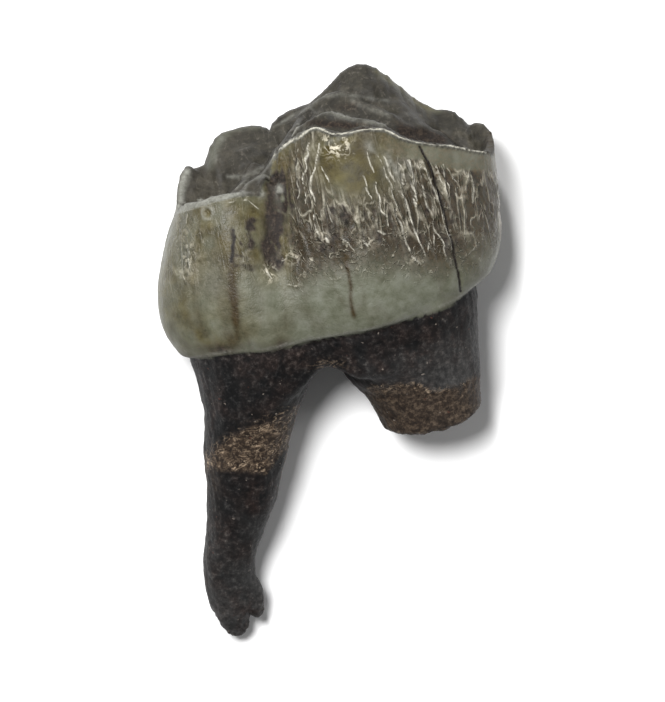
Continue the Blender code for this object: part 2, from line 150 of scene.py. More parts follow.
LEFT_END = [(-9.25, 1.0, 11.62), (-9.15, 0.3, 12.2), (-8.95, -0.5, 12.9), (-8.7, -1.4, 13.7), (-8.4, -2.1, 14.35), (-7.95, -2.75, 14.72)]
RIGHT_END = [(14.1, 2.3, 10.5), (14.45, 1.2, 10.75), (14.75, 0.0, 11.3), (14.95, -1.4, 12.0), (14.75, -2.6, 12.45), (14.35, -3.4, 12.75)]
LEFT_FOLD = [(-5.4, -1.9, 13.5), (-4.9, -1.6, 13.25), (-4.3, -1.4, 13.15), (-3.5, -1.2, 13.0), (-2.7, -1.0, 13.08), (-2.0, -0.6, 13.3), (-1.4, 0.1, 13.6), (-1.2, 1.2, 13.8)]
LEFT_ARM_A = [(-5.0, 2.8, 12.0), (-4.4, 1.9, 12.45), (-3.9, 1.1, 12.9), (-3.4, 0.4, 13.3), (-3.0, -0.3, 13.8)]
LEFT_ARM_B = [(-4.2, 3.5, 12.0), (-3.6, 2.8, 12.4), (-3.0, 2.3, 12.6), (-2.3, 2.0, 12.6), (-1.5, 1.9, 12.4)]
CROSS_ARM = [(-1.2, 1.6, 13.8), (-0.7, 1.0, 14.2), (-0.1, 0.3, 14.85), (0.4, -0.8, 15.6), (0.9, -2.2, 16.05), (1.4, -3.6, 16.3)]
INNER_CREST = [(1.0, 1.1, 15.6), (1.8, 1.6, 15.85), (2.4, 1.9, 16.05), (3.0, 2.1, 16.15), (3.5, 2.3, 16.1), (4.0, 2.5, 15.85), (4.5, 2.7, 15.5), (5.0, 2.9, 15.25),
               (5.7, 3.2, 15.0), (6.3, 3.5, 14.75), (6.8, 3.8, 14.4), (7.3, 4.2, 13.9)]
LEDGE = [(-0.9, -4.1, 16.0), (0.0, -4.0, 16.2), (1.0, -3.9, 16.45), (2.0, -3.8, 17.0), (3.0, -3.5, 17.35), (3.6, -3.2, 17.55), (4.3, -3.0, 17.55), (5.0, -2.9, 17.35), (6.0, -2.8, 17.05)]
RIB = [(5.35, -2.4, 16.85), (5.8, -1.9, 16.6), (6.2, -1.5, 16.2), (6.7, -1.1, 15.9), (7.2, -0.7, 15.5), (7.8, -0.4, 15.0)]
LEFT_FACE = [(-3.7, -4.2, 16.2), (-3.6, -3.2, 15.2), (-3.5, -2.2, 14.1), (-3.4, -1.4, 13.2)]
RIGHT_FACE = [(6.4, -4.2, 18.2), (6.9, -3.2, 16.9), (7.5, -2.3, 15.7), (8.3, -1.6, 14.6), (9.3, -1.3, 13.7)]

def crests():
    near_l, near_r, far = rim(NEAR_LEFT, 1, 0.30), rim(NEAR_RIGHT, 1, 0.30), rim(FAR_RIM, -1, 0.32)
    # crest, half width of its flat top, steepness, depth it falls to
    return [
        (near_l, 0.26, 1.5, 2.6, 1),
        (near_r, 0.16, 1.5, 2.8, 1),
        (far, 0.22, 0.85, 3.6, 2.4),
        (seen(LEFT_END), 0.24, 1.6, 2.4, 1),
        (seen(RIGHT_END), 0.2, 1.3, 2.4, 1),
        (seen(LEFT_FOLD), 0.12, 1.2, 1.6, 1),
        (seen(LEFT_ARM_A), 0.1, 1.3, 1.3, 1),
        (seen(LEFT_ARM_B), 0.1, 1.4, 1.4, 1),
        (seen(CROSS_ARM), 0.2, 1.4, 2.6, 1),
        (seen(INNER_CREST), 0.14, 1.5, 3.0, 1),
        (seen(LEDGE), 0.16, 1.2, 2.4, 1.3),
        (seen(RIB), 0.2, 1.3, 2.0, 1.3),
        (seen(LEFT_FACE), 0.9, 0.9, 2.4, 1),
        (seen(RIGHT_FACE), 0.45, 0.9, 2.4, 1),
    ]

FLOOR = [(-9, 11.4), (-6, 11.7), (-3, 11.9), (0, 13.0), (3, 14.0), (6, 13.7), (9, 11.7), (12, 10.9), (14.5, 10.7)]
PITS = [(-1.7, 2.9, 0.55, 0.6, 1.5), (9.9, 1.9, 1.5, 0.8, 1.7), (-6.4, 0.6, 1.8, 1.6, 0.5), (3.6, -0.4, 2.0, 0.7, 1.0), (-0.2, -2.4, 0.6, 1.2, 0.8)]

def height_map(M, B):
    """Height of the chewing surface over every (m, b)."""
    acc = np.zeros_like(M)
    k = 0.10
    for line, half, steep, depth, aside in crests():
        best = np.full(M.shape, -1e9)
        for (m0, b0, o0), (m1, b1, o1) in zip(line[:-1], line[1:]):
            dm, db = m1 - m0, b1 - b0
            q = aside * aside
            t = np.clip(((M - m0) * dm * q + (B - b0) * db) / (dm * dm * q + db * db), 0, 1)
            d = np.hypot((M - m0 - t * dm) * aside, B - b0 - t * db)
            e = np.sqrt(np.maximum(d - half, 0) ** 2 + 0.03) - np.sqrt(0.03)
            v = o0 + t * (o1 - o0) - depth * (1 - np.exp(-steep * e / depth)) - 0.9 * np.maximum(d - 1.9, 0) ** 1.25
            best = np.maximum(best, v)
        acc += np.exp(np.clip((best - 12) / k, -120, 120))
    acc += np.exp((curve(M, FLOOR) - 12) / k)
    H = 12 + k * np.log(acc + 1e-50)
    for m, b, wm, wb, deep in PITS:
        H = H - deep * np.exp(-((M - m) / wm) ** 2 - ((B - b) / wb) ** 2)
    return H

# ---------------------------------------------------------------- roots
LR_C = [(-22.39, -12.35), (-21.14, -12.4), (-19.88, -12.5), (-18.42, -12.3), (-16.75, -12.05),
        (-15.09, -11.73), (-13, -10.78), (-11, -9.84), (-9, -9.1), (-7, -8.5), (-5, -7.73),
        (-3, -6.85), (-1, -5.9), (1, -5.4)]
LR_W = [(-21.14, 0.3), (-20.82, 0.75), (-20.2, 1.15), (-19.26, 1.35), (-18.42, 1.6), (-16.75, 1.9),
        (-15.09, 2.02), (-13, 2.32), (-11, 2.66), (-9, 2.95), (-7, 3.32), (-5, 3.57), (-3, 4),
        (-1, 4.7), (1, 5.2)]
LR_D = [(-21.14, 0.3), (-20.82, 0.8), (-20.2, 1.25), (-18.74, 1.9), (-16.13, 2.35), (-13, 2.75),
        (-10, 3.3), (-7, 3.95), (-4, 4.7), (-2.5, 5.05), (-1, 5.3), (1, 5.5)]
LR_B = [(-21.34, -0.15), (-18.21, 0.1), (-15.09, 0.4), (-11, 0.7), (-6, 0.7), (-2, 0.62), (1, 0.55)]
RR_C = [(-10, 6), (-9, 5.85), (-7, 5.65), (-5, 5.55), (-3, 5.13), (-1, 5), (1, 5)]
RR_W = [(-10, 3), (-9.2, 3.35), (-8.4, 3.72), (-7, 3.96), (-5, 4.45), (-3, 5.17), (-1, 5.5), (1, 5.8)]
RR_D = [(-10, 3.15), (-9, 3.4), (-7, 3.85), (-5, 4.4), (-3, 4.95), (-1, 5.4), (1, 5.7)]
RR_B = [(-10, 0.65), (-5, 0.62), (0, 0.55)]

def tube(m, b, o, C, W, D, Bc, n=2.35):
    w, d = curve(o, W), curve(o, D)
    q = (np.abs((m - curve(o, C)) / w) ** n + np.abs((b - curve(o, Bc)) / d) ** n) ** (1 / n)
    return (q - 1) * np.minimum(w, d)

def root_field(m, b, o):
    left = tube(m, b, o, LR_C, LR_W, LR_D, LR_B)
    left = np.maximum(left, -21.08 - o)
    left = smax(left, -0.939 * (m + 14.3) - 0.345 * (o + 17.25), 0.3)
    right = tube(m, b, o, RR_C, RR_W, RR_D, RR_B)
    right = smax(right, -(8.45 - 0.045 * (m - 5.6) ** 2) - o, 0.5)
    # spur by the left tip
    spur = np.sqrt(((m + 10.62) / 0.8) ** 2 + ((b - 0.6) / 1.2) ** 2 + ((o + 17.95) / 1.85) ** 2) - 1
    left = smin(left, spur * 0.7, 0.15)
    body = smin(left, right, 0.5)
    trunk = crown_side(m, b, np.clip(o, -3, 0.4))
    trunk = smax(trunk, -(1.3 + 1.7 * (1 - np.exp(-0.42 * (m + 1.25) ** 2 / 1.5))) - o, 1.2)
    return smin(body, trunk, 0.6)


# ---------------------------------------------------------------- skin of the field
def surface_nets(F, gx, gy, gz):
    """Closed quad mesh on the zero level of F, sampled on a grid; inside is below zero."""
    inside = F < 0
    cell = np.zeros(tuple(n - 1 for n in F.shape), np.uint8)
    for i in (0, 1):
        for j in (0, 1):
            for k in (0, 1):
                cell += inside[i:F.shape[0] - 1 + i, j:F.shape[1] - 1 + j, k:F.shape[2] - 1 + k]
    act = (cell > 0) & (cell < 8)
    ids = np.full(act.shape, -1, np.int64)
    cx, cy, cz = np.nonzero(act)
    ids[cx, cy, cz] = np.arange(len(cx))
    pos = np.zeros((len(cx), 3))
    cnt = np.zeros(len(cx))
    corners = [(i, j, k) for i in (0, 1) for j in (0, 1) for k in (0, 1)]
    vals = {c: F[cx + c[0], cy + c[1], cz + c[2]] for c in corners}
    for c0 in corners:
        for ax in range(3):
            if c0[ax] == 0:
                c1 = list(c0); c1[ax] = 1; c1 = tuple(c1)
                a, b = vals[c0], vals[c1]
                x = (a < 0) != (b < 0)
                t = np.where(x, a / np.where(x, a - b, 1), 0)
                p = np.array(c0, float)[None, :].repeat(len(cx), 0)
                p[:, ax] += t
                pos[x] += p[x]
                cnt[x] += 1
    pos /= cnt[:, None]
    out = np.empty_like(pos)
    for ax, (c, g) in enumerate(((cx, gx), (cy, gy), (cz, gz))):
        out[:, ax] = g[c] + pos[:, ax] * (g[c + 1] - g[c])
    quads = []
    for ax in range(3):
        a = np.take(inside, range(0, F.shape[ax] - 1), ax)
        b = np.take(inside, range(1, F.shape[ax]), ax)
        sl = [slice(1, F.shape[i] - 1) if i != ax else slice(None) for i in range(3)]
        a, b = a[tuple(sl)], b[tuple(sl)]
        x = np.array(np.nonzero(a != b)).T
        flip = a[tuple(x.T)]
        base = x.copy()
        u, v = [(1, 2), (2, 0), (0, 1)][ax]
        for i in range(3):
            if i != ax:
                base[:, i] += 1
        q = []
        for du, dv in ((0, 0), (-1, 0), (-1, -1), (0, -1)):
            p = base.copy(); p[:, u] += du; p[:, v] += dv
            q.append(ids[p[:, 0], p[:, 1], p[:, 2]])
        q = np.array(q).T
        q[~flip] = q[~flip][:, ::-1]
        quads.append(q)
    return out, np.concatenate(quads)


TABLE_STEP = 0.06
TM, TB = np.arange(-15.5, 17, TABLE_STEP), np.arange(-8.5, 9.5, TABLE_STEP)
TOP = height_map(*np.meshgrid(TM, TB, indexing="ij"))
_gm, _gb = np.gradient(TOP, TABLE_STEP)
TOP_SLOPE = np.sqrt(1 + _gm ** 2 + _gb ** 2)


def look_up(table, m, b):
    x = np.clip((m - TM[0]) / TABLE_STEP, 0, len(TM) - 1.001)
    y = np.clip((b - TB[0]) / TABLE_STEP, 0, len(TB) - 1.001)
    i, j = x.astype(int), y.astype(int)
    u, v = x - i, y - j
    return (table[i, j] * (1 - u) * (1 - v) + table[i + 1, j] * u * (1 - v)
            + table[i, j + 1] * (1 - u) * v + table[i + 1, j + 1] * u * v)


def neck_line(m, b):
    return 0.95 + 0.25 * bump(b, 5, 4) + 0.42 * bump(m, -8.0, 2.4) + 0.75 * step(m, 8.5, 12.5)


def field(m, b, o):
    """Below zero inside the tooth, in millimetres."""
    side = crown_side(m, b, np.maximum(o, 0.0))
    mm, bb = np.broadcast_arrays(m, b)
    top = (o - look_up(TOP, mm, bb)) / look_up(TOP_SLOPE, mm, bb)
    crown = smax(side, top, 0.12)
    crown = smax(crown, neck_line(m, b) - o, 0.4)
    root = smax(root_field(m, b, o), o - 3.0, 0.5)
    return smin(crown, root, 0.28)


def gradient(p, e=0.02):
    g = np.empty_like(p)
    for k in range(3):
        a, c = p.copy(), p.copy()
        a[:, k] += e
        c[:, k] -= e
        g[:, k] = (field(a[:, 0], a[:, 1], a[:, 2]) - field(c[:, 0], c[:, 1], c[:, 2])) / (2 * e)
    return g


# ---------------------------------------------------------------- noise
def lattice(ix, iy, iz, seed):
    h = (ix * 374761393 + iy * 668265263 + iz * 1442695041 + seed * 1274126177) & 0xFFFFFFFF
    h = ((h ^ (h >> 13)) * 1274126177) & 0xFFFFFFFF
    return ((h ^ (h >> 16)) & 0xFFFFFF) / 8388608.0 - 1.0


def noise(x, y, z, seed=0):
    """Smooth noise from -1 to 1 with a cell of 1."""
    x, y, z = np.broadcast_arrays(x, y, z)
    fx, fy, fz = np.floor(x), np.floor(y), np.floor(z)
    ix, iy, iz = fx.astype(np.int64), fy.astype(np.int64), fz.astype(np.int64)
    u, v, w = x - fx, y - fy, z - fz
    u, v, w = (t * t * t * (t * (t * 6 - 15) + 10) for t in (u, v, w))
    total = 0
    for a in (0, 1):
        for b in (0, 1):
            for c in (0, 1):
                k = (u if a else 1 - u) * (v if b else 1 - v) * (w if c else 1 - w)
                total = total + k * lattice(ix + a, iy + b, iz + c, seed)
    return total


def layered(x, y, z, seed=0, octaves=4, rough=0.5):
    total, size, norm = 0, 1.0, 0
    for k in range(octaves):
        total = total + size * noise(x * 2 ** k, y * 2 ** k, z * 2 ** k, seed + 17 * k)
        norm += size
        size *= rough
    return total / norm


def strand(n, width):
    """1 along the thin lines where a noise crosses zero."""
    return np.exp(-(n / width) ** 2)


# ---------------------------------------------------------------- the reference view's picture plane
MM_PER_PX = 0.075
ROW_TURN, REST_TILT = math.radians(13.5), math.radians(10.2)
CT, ST = math.cos(ROW_TURN), math.sin(ROW_TURN)


def picture(m, b, o):
    """Where a point is seen, in steps of 0.075 mm across and down the reference view."""
    y = o * CA - b * SA
    return 335 + (m * CT - y * ST) / MM_PER_PX, 333 - (m * ST + y * CT) / MM_PER_PX


def line_distance(px, py, pts):
    """Distance to a bent line, and how far along it the nearest point is, from 0 to 1."""
    best, where = np.full(px.shape, 1e9), np.zeros(px.shape)
    n = len(pts) - 1
    for k in range(n):
        (x0, y0), (x1, y1) = pts[k], pts[k + 1]
        dx, dy = x1 - x0, y1 - y0
        t = np.clip(((px - x0) * dx + (py - y0) * dy) / (dx * dx + dy * dy + 1e-9), 0, 1)
        d = np.hypot(px - x0 - t * dx, py - y0 - t * dy)
        hit = d < best
        best = np.where(hit, d, best)
        where = np.where(hit, (k + t) / n, where)
    return best, where


def soft_line(px, py, pts, width, taper=0.0):
    d, t = line_distance(px, py, pts)
    w = width * (1 - taper * np.abs(2 * t - 1))
    return np.exp(-(d / w) ** 2)


def spot(px, py, x, y, rx, ry, turn=0.0):
    c, s = math.cos(math.radians(turn)), math.sin(math.radians(turn))
    u, v = (px - x) * c + (py - y) * s, -(px - x) * s + (py - y) * c
    return np.exp(-(u / rx) ** 2 - (v / ry) ** 2)


def below_line(px, py, pts, feather):
    """0 above the bent line and 1 below it."""
    return step(py - curve(px, pts), -feather, feather)


# ---------------------------------------------------------------- skin
def graded(start, stop, steps):
    """Grid positions whose spacing follows (place, spacing) stations."""
    out = [start]
    while out[-1] < stop:
        out.append(out[-1] + float(curve(out[-1], steps)))
    return np.array(out)


gm = graded(-15.0, 15.9, [(-14, 0.15), (-9, 0.125), (14, 0.12), (15.5, 0.12)])
gb = graded(-7.6, 8.6, [(-7, 0.30), (-2, 0.24), (4, 0.2), (8, 0.2)])
go = graded(-21.4, 19.4, [(-21, 0.2), (-17, 0.24), (-12, 0.3), (-2, 0.3), (2, 0.24), (5, 0.2), (12, 0.18), (19, 0.18)])
F = np.empty((len(gm), len(gb), len(go)))
for i0 in range(0, len(gm), 40):
    F[i0:i0 + 40] = field(gm[i0:i0 + 40, None, None], gb[None, :, None], go[None, None, :])
P, Q = surface_nets(F, gm, gb, go)
for _ in range(2):
    g = gradient(P)
    P -= g * np.clip(field(P[:, 0], P[:, 1], P[:, 2]) / np.maximum((g * g).sum(1), 0.05), -0.15, 0.15)[:, None]


def normals_of(p, q):
    n = np.cross(p[q[:, 2]] - p[q[:, 0]], p[q[:, 3]] - p[q[:, 1]])
    out = np.zeros_like(p)
    for k in range(4):
        np.add.at(out, q[:, k], n)
    return out / np.maximum(np.linalg.norm(out, axis=1), 1e-12)[:, None]


N = normals_of(P, Q)
if (N * gradient(P)).sum(1).mean() < 0:
    Q = Q[:, ::-1]
    N = -N
m, b, o = P.T
px, py = picture(m, b, o)
to_eye = N[:, 1] * CA + N[:, 2] * SA
faces_up = step(to_eye, -0.05, 0.25) * step(b + 0.12 * o, -6.5, -4.5)
nearness = b * CA + o * SA
gx, gy = np.clip(px / 3, 0, 299).astype(int), np.clip(py / 3, 0, 299).astype(int)
nearest = np.full((300, 300), -1e9)
np.maximum.at(nearest, (gy, gx), nearness)
hidden = step(nearest[gy, gx] - nearness, 1.0, 1.7)
seen_side = faces_up * (1 - hidden)
top_height = look_up(TOP, m, b)
neck = neck_line(m, b)
enamel = step(o - neck, -0.06, 0.06)
chew = step(0.42 - (top_height - o) / np.maximum(look_up(TOP_SLOPE, m, b), 1), 0.05, 0.3) * enamel
near_rim = [(178, 213), (190, 210), (205, 206), (215, 202.5), (225, 199.5), (240, 197), (253, 196.5), (262, 197), (268, 190), (271, 172), (273, 160), (281, 151), (290, 145),
            (300, 140), (308, 134), (316, 132), (325, 135), (333, 138), (342, 138), (351, 136), (360, 133.5), (372, 133), (384, 134), (396, 140), (408, 144), (420, 146), (434, 148),
            (452, 150), (468, 153), (484, 155.5), (500, 157)]
chew *= 1 - step(py - curve(px, near_rim), -0.5, 1.8) * step(b, 0.0, 0.6) * step(N[:, 1], 0.0, 0.3) * (1 - hidden)
inner = np.maximum(hidden * faces_up, step(-N[:, 1], 0.05, 0.3) * step(b, 0.8, 1.6)) * step(o, 3.0, 4.5) * enamel
chew = np.maximum(chew, inner)
wall = enamel * (1 - chew)
cheek = wall * step(b, -1.0, 1.5)
tongue = wall * step(-b, -0.5, 2.0)

# ---------------------------------------------------------------- relief and markings of the enamel wall
wob = layered(m * 0.5, b * 0.3, o * 0.35, 3, 3)
fan = (m - 3.2) / (1 + 0.032 * (13 - o)) + 0.35 * wob
zone = [(165, 300), (200, 290), (235, 285), (261, 280), (300, 280), (340, 268), (367, 262), (411, 266), (444, 268), (478, 255), (495, 240), (505, 232)]
rough_zone = (1 - below_line(px + 10 * wob, py + 8 * layered(m * 0.9, b * 0.9, o * 0.9, 5, 3), zone, 24)) * cheek
back_zone = tongue * step(o + 0.8 * wob, 3.5, 6.5)
right_lobe = step(m - (-3.3 + (o - 5) * 0.27), 0.2, 1.4)
worn_line = [(372, 132), (380, 146), (386, 152), (396, 158), (410, 160), (424, 162), (436, 168), (450, 171), (470, 172), (500, 174)]
worn = cheek * right_lobe * step(px, 366, 378) * (1 - below_line(px, py, worn_line, 2.5))
olive_top = np.clip(spot(px, py, 352, 165, 42, 34, 20) * 1.5, 0, 1) * cheek * right_lobe
smooth_top = np.clip(olive_top * 1.2 + worn, 0, 1)

n1 = noise(fan * 1.05, o * 0.16, 0.3 * b, 11)
n2 = noise(fan * 1.9 + 0.25 * noise(m, b, o * 0.6, 8), o * 0.26, 0.3 * b, 12)
n3 = noise(fan * 3.6, o * 0.7, 0.5 * b, 13)
ridge = np.maximum(strand(n1, 0.10) * 0.9, np.maximum(strand(n2, 0.15) * 0.75, strand(n3, 0.2) * 0.35))
ridge = ridge * (0.55 + 0.6 * noise(m * 0.8, b, o * 0.5, 14)).clip(0, 1.2)
ridge_zone = rough_zone * (1 - smooth_top).clip(0, 1)
strong = (0.12 + 0.88 * right_lobe) * (1 - 0.45 * step(m, 9.8, 11.5))
# Listed crest lines on the cheek side: raised in the relief and made bright along the crest, partly as pale enamel and
# partly as painted highlight.
drawn, line_soft = np.zeros_like(m), np.zeros_like(m)
for pts, w, k in [
        ([(362, 177), (366, 189), (372, 203)], 1.3, 1.0), ([(375.5, 183), (380, 203), (387, 227)], 1.3, 1.0),
        ([(378, 158), (385, 176), (391, 190)], 1.2, 0.7), ([(391, 192), (397, 218), (403, 236), (410, 252)], 1.4, 1.0),
        ([(401, 192), (411, 222), (418, 239), (424, 257)], 1.3, 1.0), ([(408, 162), (411, 183), (415, 195), (414, 208)], 1.5, 1.0),
        ([(414, 208), (411, 202), (413, 196), (416, 200), (414, 208)], 1.0, 0.8), ([(420, 165), (419, 180), (424, 198), (430, 220), (433, 250)], 1.2, 0.8),
        ([(400, 170), (403, 184), (397, 196)], 1.1, 0.7), ([(434, 168), (441, 182), (446, 200)], 1.2, 0.8), ([(443, 165), (445, 180), (446, 190)], 1.2, 0.9),
        ([(453, 177), (456, 197)], 1.2, 0.7), ([(424, 168), (430, 184), (437, 204), (446, 232), (452, 250)], 1.3, 0.85), ([(470, 178), (472, 205)], 1.1, 0.5), ([(364, 145), (368, 158), (373, 174)], 1.3, 0.6), ([(384, 158), (388, 171), (393, 184)], 1.5, 0.7), ([(397, 164), (401, 174), (399, 186)], 1.5, 0.7), ([(433, 232), (441, 243), (444, 258)], 1.2, 0.8), ([(447, 222), (440, 210), (432, 198)], 1.0, 0.6),
        ([(311, 144), (305, 165), (304, 190), (306, 204)], 1.3, 1.0), ([(318, 145), (315, 165), (312, 190), (313, 204)], 1.3, 1.0),
        ([(300, 150), (297, 175), (298, 200)], 1.1, 0.6), ([(321, 168), (326, 178), (329, 184)], 1.1, 0.8), ([(313, 215), (316, 228), (320, 240)], 1.3, 0.8),
        ([(326, 205), (331, 220), (335, 228)], 1.2, 0.7), ([(321, 240), (326, 239), (328, 244)], 1.3, 0.9), ([(362, 240), (367, 247), (369, 242)], 1.3, 0.9),
        ([(379, 232), (383, 236), (388, 230)], 1.2, 0.8), ([(345, 240), (351, 246), (356, 252)], 1.1, 0.6), ([(428, 242), (427, 252)], 1.1, 0.6),
        ([(190, 252), (187, 262), (189, 270)], 1.0, 0.5), ([(183, 275), (186, 282)], 1.0, 0.5), ([(191, 214), (190, 224)], 1.0, 0.4),
        ([(265, 268), (268, 274), (272, 279)], 1.5, 0.8), ([(268, 262), (266, 272)], 1.2, 0.5), ([(284, 262), (290, 256), (297, 259)], 1.5, 0.5),
        ([(288, 285), (302, 287)], 1.3, 0.6),
        ([(411, 257), (420, 265)], 1.6, 0.7)]:
    wavy = px + 2.6 * noise(m * 1.5, b, o * 1.3, 20)
    drawn = np.maximum(drawn, k * soft_line(wavy, py, pts, w, 0.35))
    line_soft = np.maximum(line_soft, (0.62 + 0.38 * k) * soft_line(wavy, py, pts, w * 1.12, 0.2))
drawn *= cheek * seen_side
line_soft *= cheek * seen_side
chips = cheek * seen_side * np.clip(1.4 * spot(px, py, 280, 192, 3, 6) + 0.8 * spot(px, py, 262, 195, 4, 5), 0, 1) * step(noise(m * 3, b * 3, o * 3, 19), -0.5, 0.2)
# Ring: a small raised round bump on the left lobe; its pale ring is a painted highlight.
ring_d = np.hypot((px - 208.5) / 0.8, py - 214) - 6.2
ring = np.exp(-(ring_d / 1.5) ** 2) * cheek * seen_side
second_rim = soft_line(px, py, [(230, 204), (238, 202), (247, 201), (254, 206), (259, 210)], 1.2) * cheek * seen_side
groove_dark = soft_line(px + 3 * noise(m * 1.3, b, o * 0.8, 30), py, [(276, 186), (276, 205), (275, 225), (275, 244), (273, 260)], 10) * cheek * seen_side
groove_dark = np.clip(2.5 * groove_dark * (0.72 + 0.9 * layered(m * 2.0, b * 2.0, o * 1.1, 29, 3)), 0, 1)
fold_dark = np.zeros_like(m)
for pts, k in [([(284, 152), (283, 176), (286, 202), (288, 236)], 0.9), ([(290, 150), (289, 180), (291, 214), (294, 244)], 0.8), ([(297, 160), (296, 190), (299, 226)], 0.7), ([(277, 162), (276, 178), (279, 190)], 0.8),
               ([(308, 150), (308, 180), (309, 210)], 0.6), ([(384, 196), (392, 226), (398, 248)], 0.6), ([(368, 200), (375, 224), (380, 244)], 0.6), ([(405, 190), (414, 222), (422, 250)], 0.6), ([(446, 178), (448, 200), (452, 228)], 0.6), ([(464, 178), (466, 205), (470, 236)], 0.7), ([(478, 180), (480, 206), (483, 232)], 0.7)]:
    fold_dark = np.maximum(fold_dark, k * soft_line(px + 1.6 * noise(m * 1.3, b, o * 1.0, 132), py, pts, 2.2, 0.4))
fold_dark *= cheek * seen_side * np.clip(0.75 + 0.9 * noise(m * 1.5, b * 1.5, o * 0.9, 133), 0, 1)
crack_d, crack_t = line_distance(px + 0.8 * noise(m * 1.3, b, o * 1.3, 31), py, [(416, 141), (424, 157), (431, 172), (438, 193), (445, 219), (452, 245), (458, 272), (461, 292)])
crack = np.exp(-(crack_d / 1.5) ** 2) * cheek * seen_side
fine_crack = strand(noise(m * 0.22 + 3.1, b * 0.25, o * 0.1 + 0.2 * wob, 41), 0.012) * wall * (1 - seen_side)

growth = np.sin(o * 9.0 + 1.5 * wob + 0.8 * noise(m * 0.4, b * 0.4, o * 0.2, 51))
lumps = layered(m * 0.8, b * 0.8, o * 0.6, 61, 3)
grain = layered(m * 3.2, b * 3.2, o * 2.2, 62, 3)
pits = np.clip(layered(m * 2.4, b * 2.4, o * 1.6, 63, 2) - 0.25, 0, 1)
relief = np.zeros_like(m)
relief += cheek * (0.05 * lumps + 0.012 * grain) + tongue * (0.06 * lumps + 0.012 * grain)
relief += cheek * (1 - rough_zone) * 0.006 * growth
relief += ridge_zone * strong * (0.20 * ridge - 0.06 + 0.05 * grain + 0.05 * lumps) + 0.13 * drawn * (1 - 0.4 * olive_top)
relief += back_zone * (0.07 * strand(noise(m * 0.9 + 0.2 * wob, b, o * 0.14, 71), 0.14) + 0.02 * grain)
relief -= ridge_zone * 0.16 * pits * strong
relief += 0.16 * chips + 0.13 * ring - 0.06 * np.exp(-((ring_d + 4.5) / 3) ** 2) * cheek * seen_side + 0.07 * second_rim
relief -= 0.16 * crack + 0.1 * fine_crack + 0.10 * groove_dark * (0.5 + 0.8 * noise(m * 1.2, b * 1.2, o * 0.9, 72))
relief -= 0.05 * worn * step(grain, -1, 1)
# Gleam patch high on the right lobe: lumpy relief and lower roughness catch the real light, and it also gets painted
# highlight flecks in the pale colour and the glint mask.
gleam = np.clip(1.3 * spot(px, py, 336, 146, 13, 11, 20), 0, 1) * cheek * seen_side
relief += 0.10 * gleam * layered(m * 2.6, b * 2.6, o * 2.6, 73, 2)

# ---------------------------------------------------------------- chewing surface
# Rim and crest lines of the chewing surface: raised slightly and made pale and bright, partly as worn enamel and partly
# as painted highlight.
rim_lines, rim_soft = np.zeros_like(m), np.zeros_like(m)
for pts, w, k in [
        ([(273, 158), (281, 149), (290, 143), (300, 138), (308, 132), (316, 130), (325, 133)], 2.4, 1.0),
        ([(283, 150), (290, 142), (296, 132), (299, 126)], 3.0, 0.75),
        ([(262, 174), (270, 165), (274, 158), (276, 150)], 2.0, 0.6),
        ([(325, 133), (333, 136), (342, 136), (351, 134), (360, 131.5), (372, 131), (384, 132), (396, 138), (408, 142), (420, 144), (434, 146), (452, 148), (468, 151), (484, 153.5)], 1.2, 1.0),
        ([(274, 127), (290, 117), (305, 110), (314, 104)], 1.5, 0.55), ([(314, 104), (320, 97), (344, 95), (366, 97), (388, 102)], 2.2, 0.42),
        ([(317, 116), (322, 114), (331, 113), (344, 118), (362, 122), (384, 127)], 2.6, 0.66),
        ([(351, 100), (360, 105), (377, 111), (389, 117)], 3.0, 0.4), ([(311, 108), (317, 115)], 1.5, 0.5),
        ([(228, 177), (240, 178), (248, 177), (258, 170), (267, 166)], 2.2, 0.62), ([(237, 190), (245, 182), (252, 176), (260, 172)], 1.4, 0.62),
        ([(246, 186), (254, 180), (262, 177), (272, 178)], 1.6, 0.66), ([(240, 198), (247, 187)], 1.2, 0.5), ([(262, 196), (267, 188), (271, 192), (268, 200)], 1.4, 0.6),
        ([(214, 160), (217, 148), (222, 138)], 4.5, 0.45), ([(180, 200), (181, 186), (184, 176), (188, 172)], 3.6, 0.6), ([(188, 172), (191, 178), (186, 190)], 1.3, 0.6)]:
    wx, wy = px + 0.8 * noise(m * 1.4, b * 1.4, o, 81), py + 0.8 * noise(m * 1.3, b * 1.3, o, 82)
    rim_lines = np.maximum(rim_lines, k * soft_line(wx, wy, pts, w, 0.25))
    rim_soft = np.maximum(rim_soft, (0.98 if k == 1.0 else 0.82 * k) * soft_line(wx, wy, pts, max(1.35, 0.7 * w), 0.15))
rim_lines *= seen_side * enamel
rim_soft *= seen_side * enamel
rim_d, rim_t = line_distance(px, py, [(178, 209.5), (190, 206.5), (205, 202.5), (215, 199.5), (225, 197), (240, 195), (253, 194.5)])
left_rim = (1 - step(rim_d - (4.6 - 2.6 * rim_t), -0.8, 0.8)) * seen_side * enamel * (1 - 0.8 * step(rim_t, 0.8, 1.0))
left_rim_edge = soft_line(px, py, [(178, 214), (190, 211), (205, 207), (216, 203), (226, 200), (240, 198), (253, 197.5)], 1.9) * seen_side * enamel
flank = np.clip(1.1 * soft_line(px, py, [(378, 71), (394, 82), (408, 94), (422, 105), (438, 110)], 3.6), 0, 1) * seen_side * enamel
# Cavity and pit: hollows cut into the relief, with painted shade in them through the dark mask.
cavity = np.clip(2.2 * spot(px, py, 426, 137, 19, 6, 8), 0, 1) * faces_up * chew
pit = np.clip(1.6 * spot(px, py, 277, 182, 4, 4), 0, 1) * seen_side * enamel
right_basin = np.clip(1.4 * spot(px, py, 490, 140, 4.5, 12), 0, 1) * seen_side * chew
relief += chew * (0.03 * layered(m * 1.6, b * 1.6, o * 1.6, 91, 3) + 0.018 * grain) + 0.07 * rim_lines * chew
relief -= 0.22 * cavity + 0.12 * pit
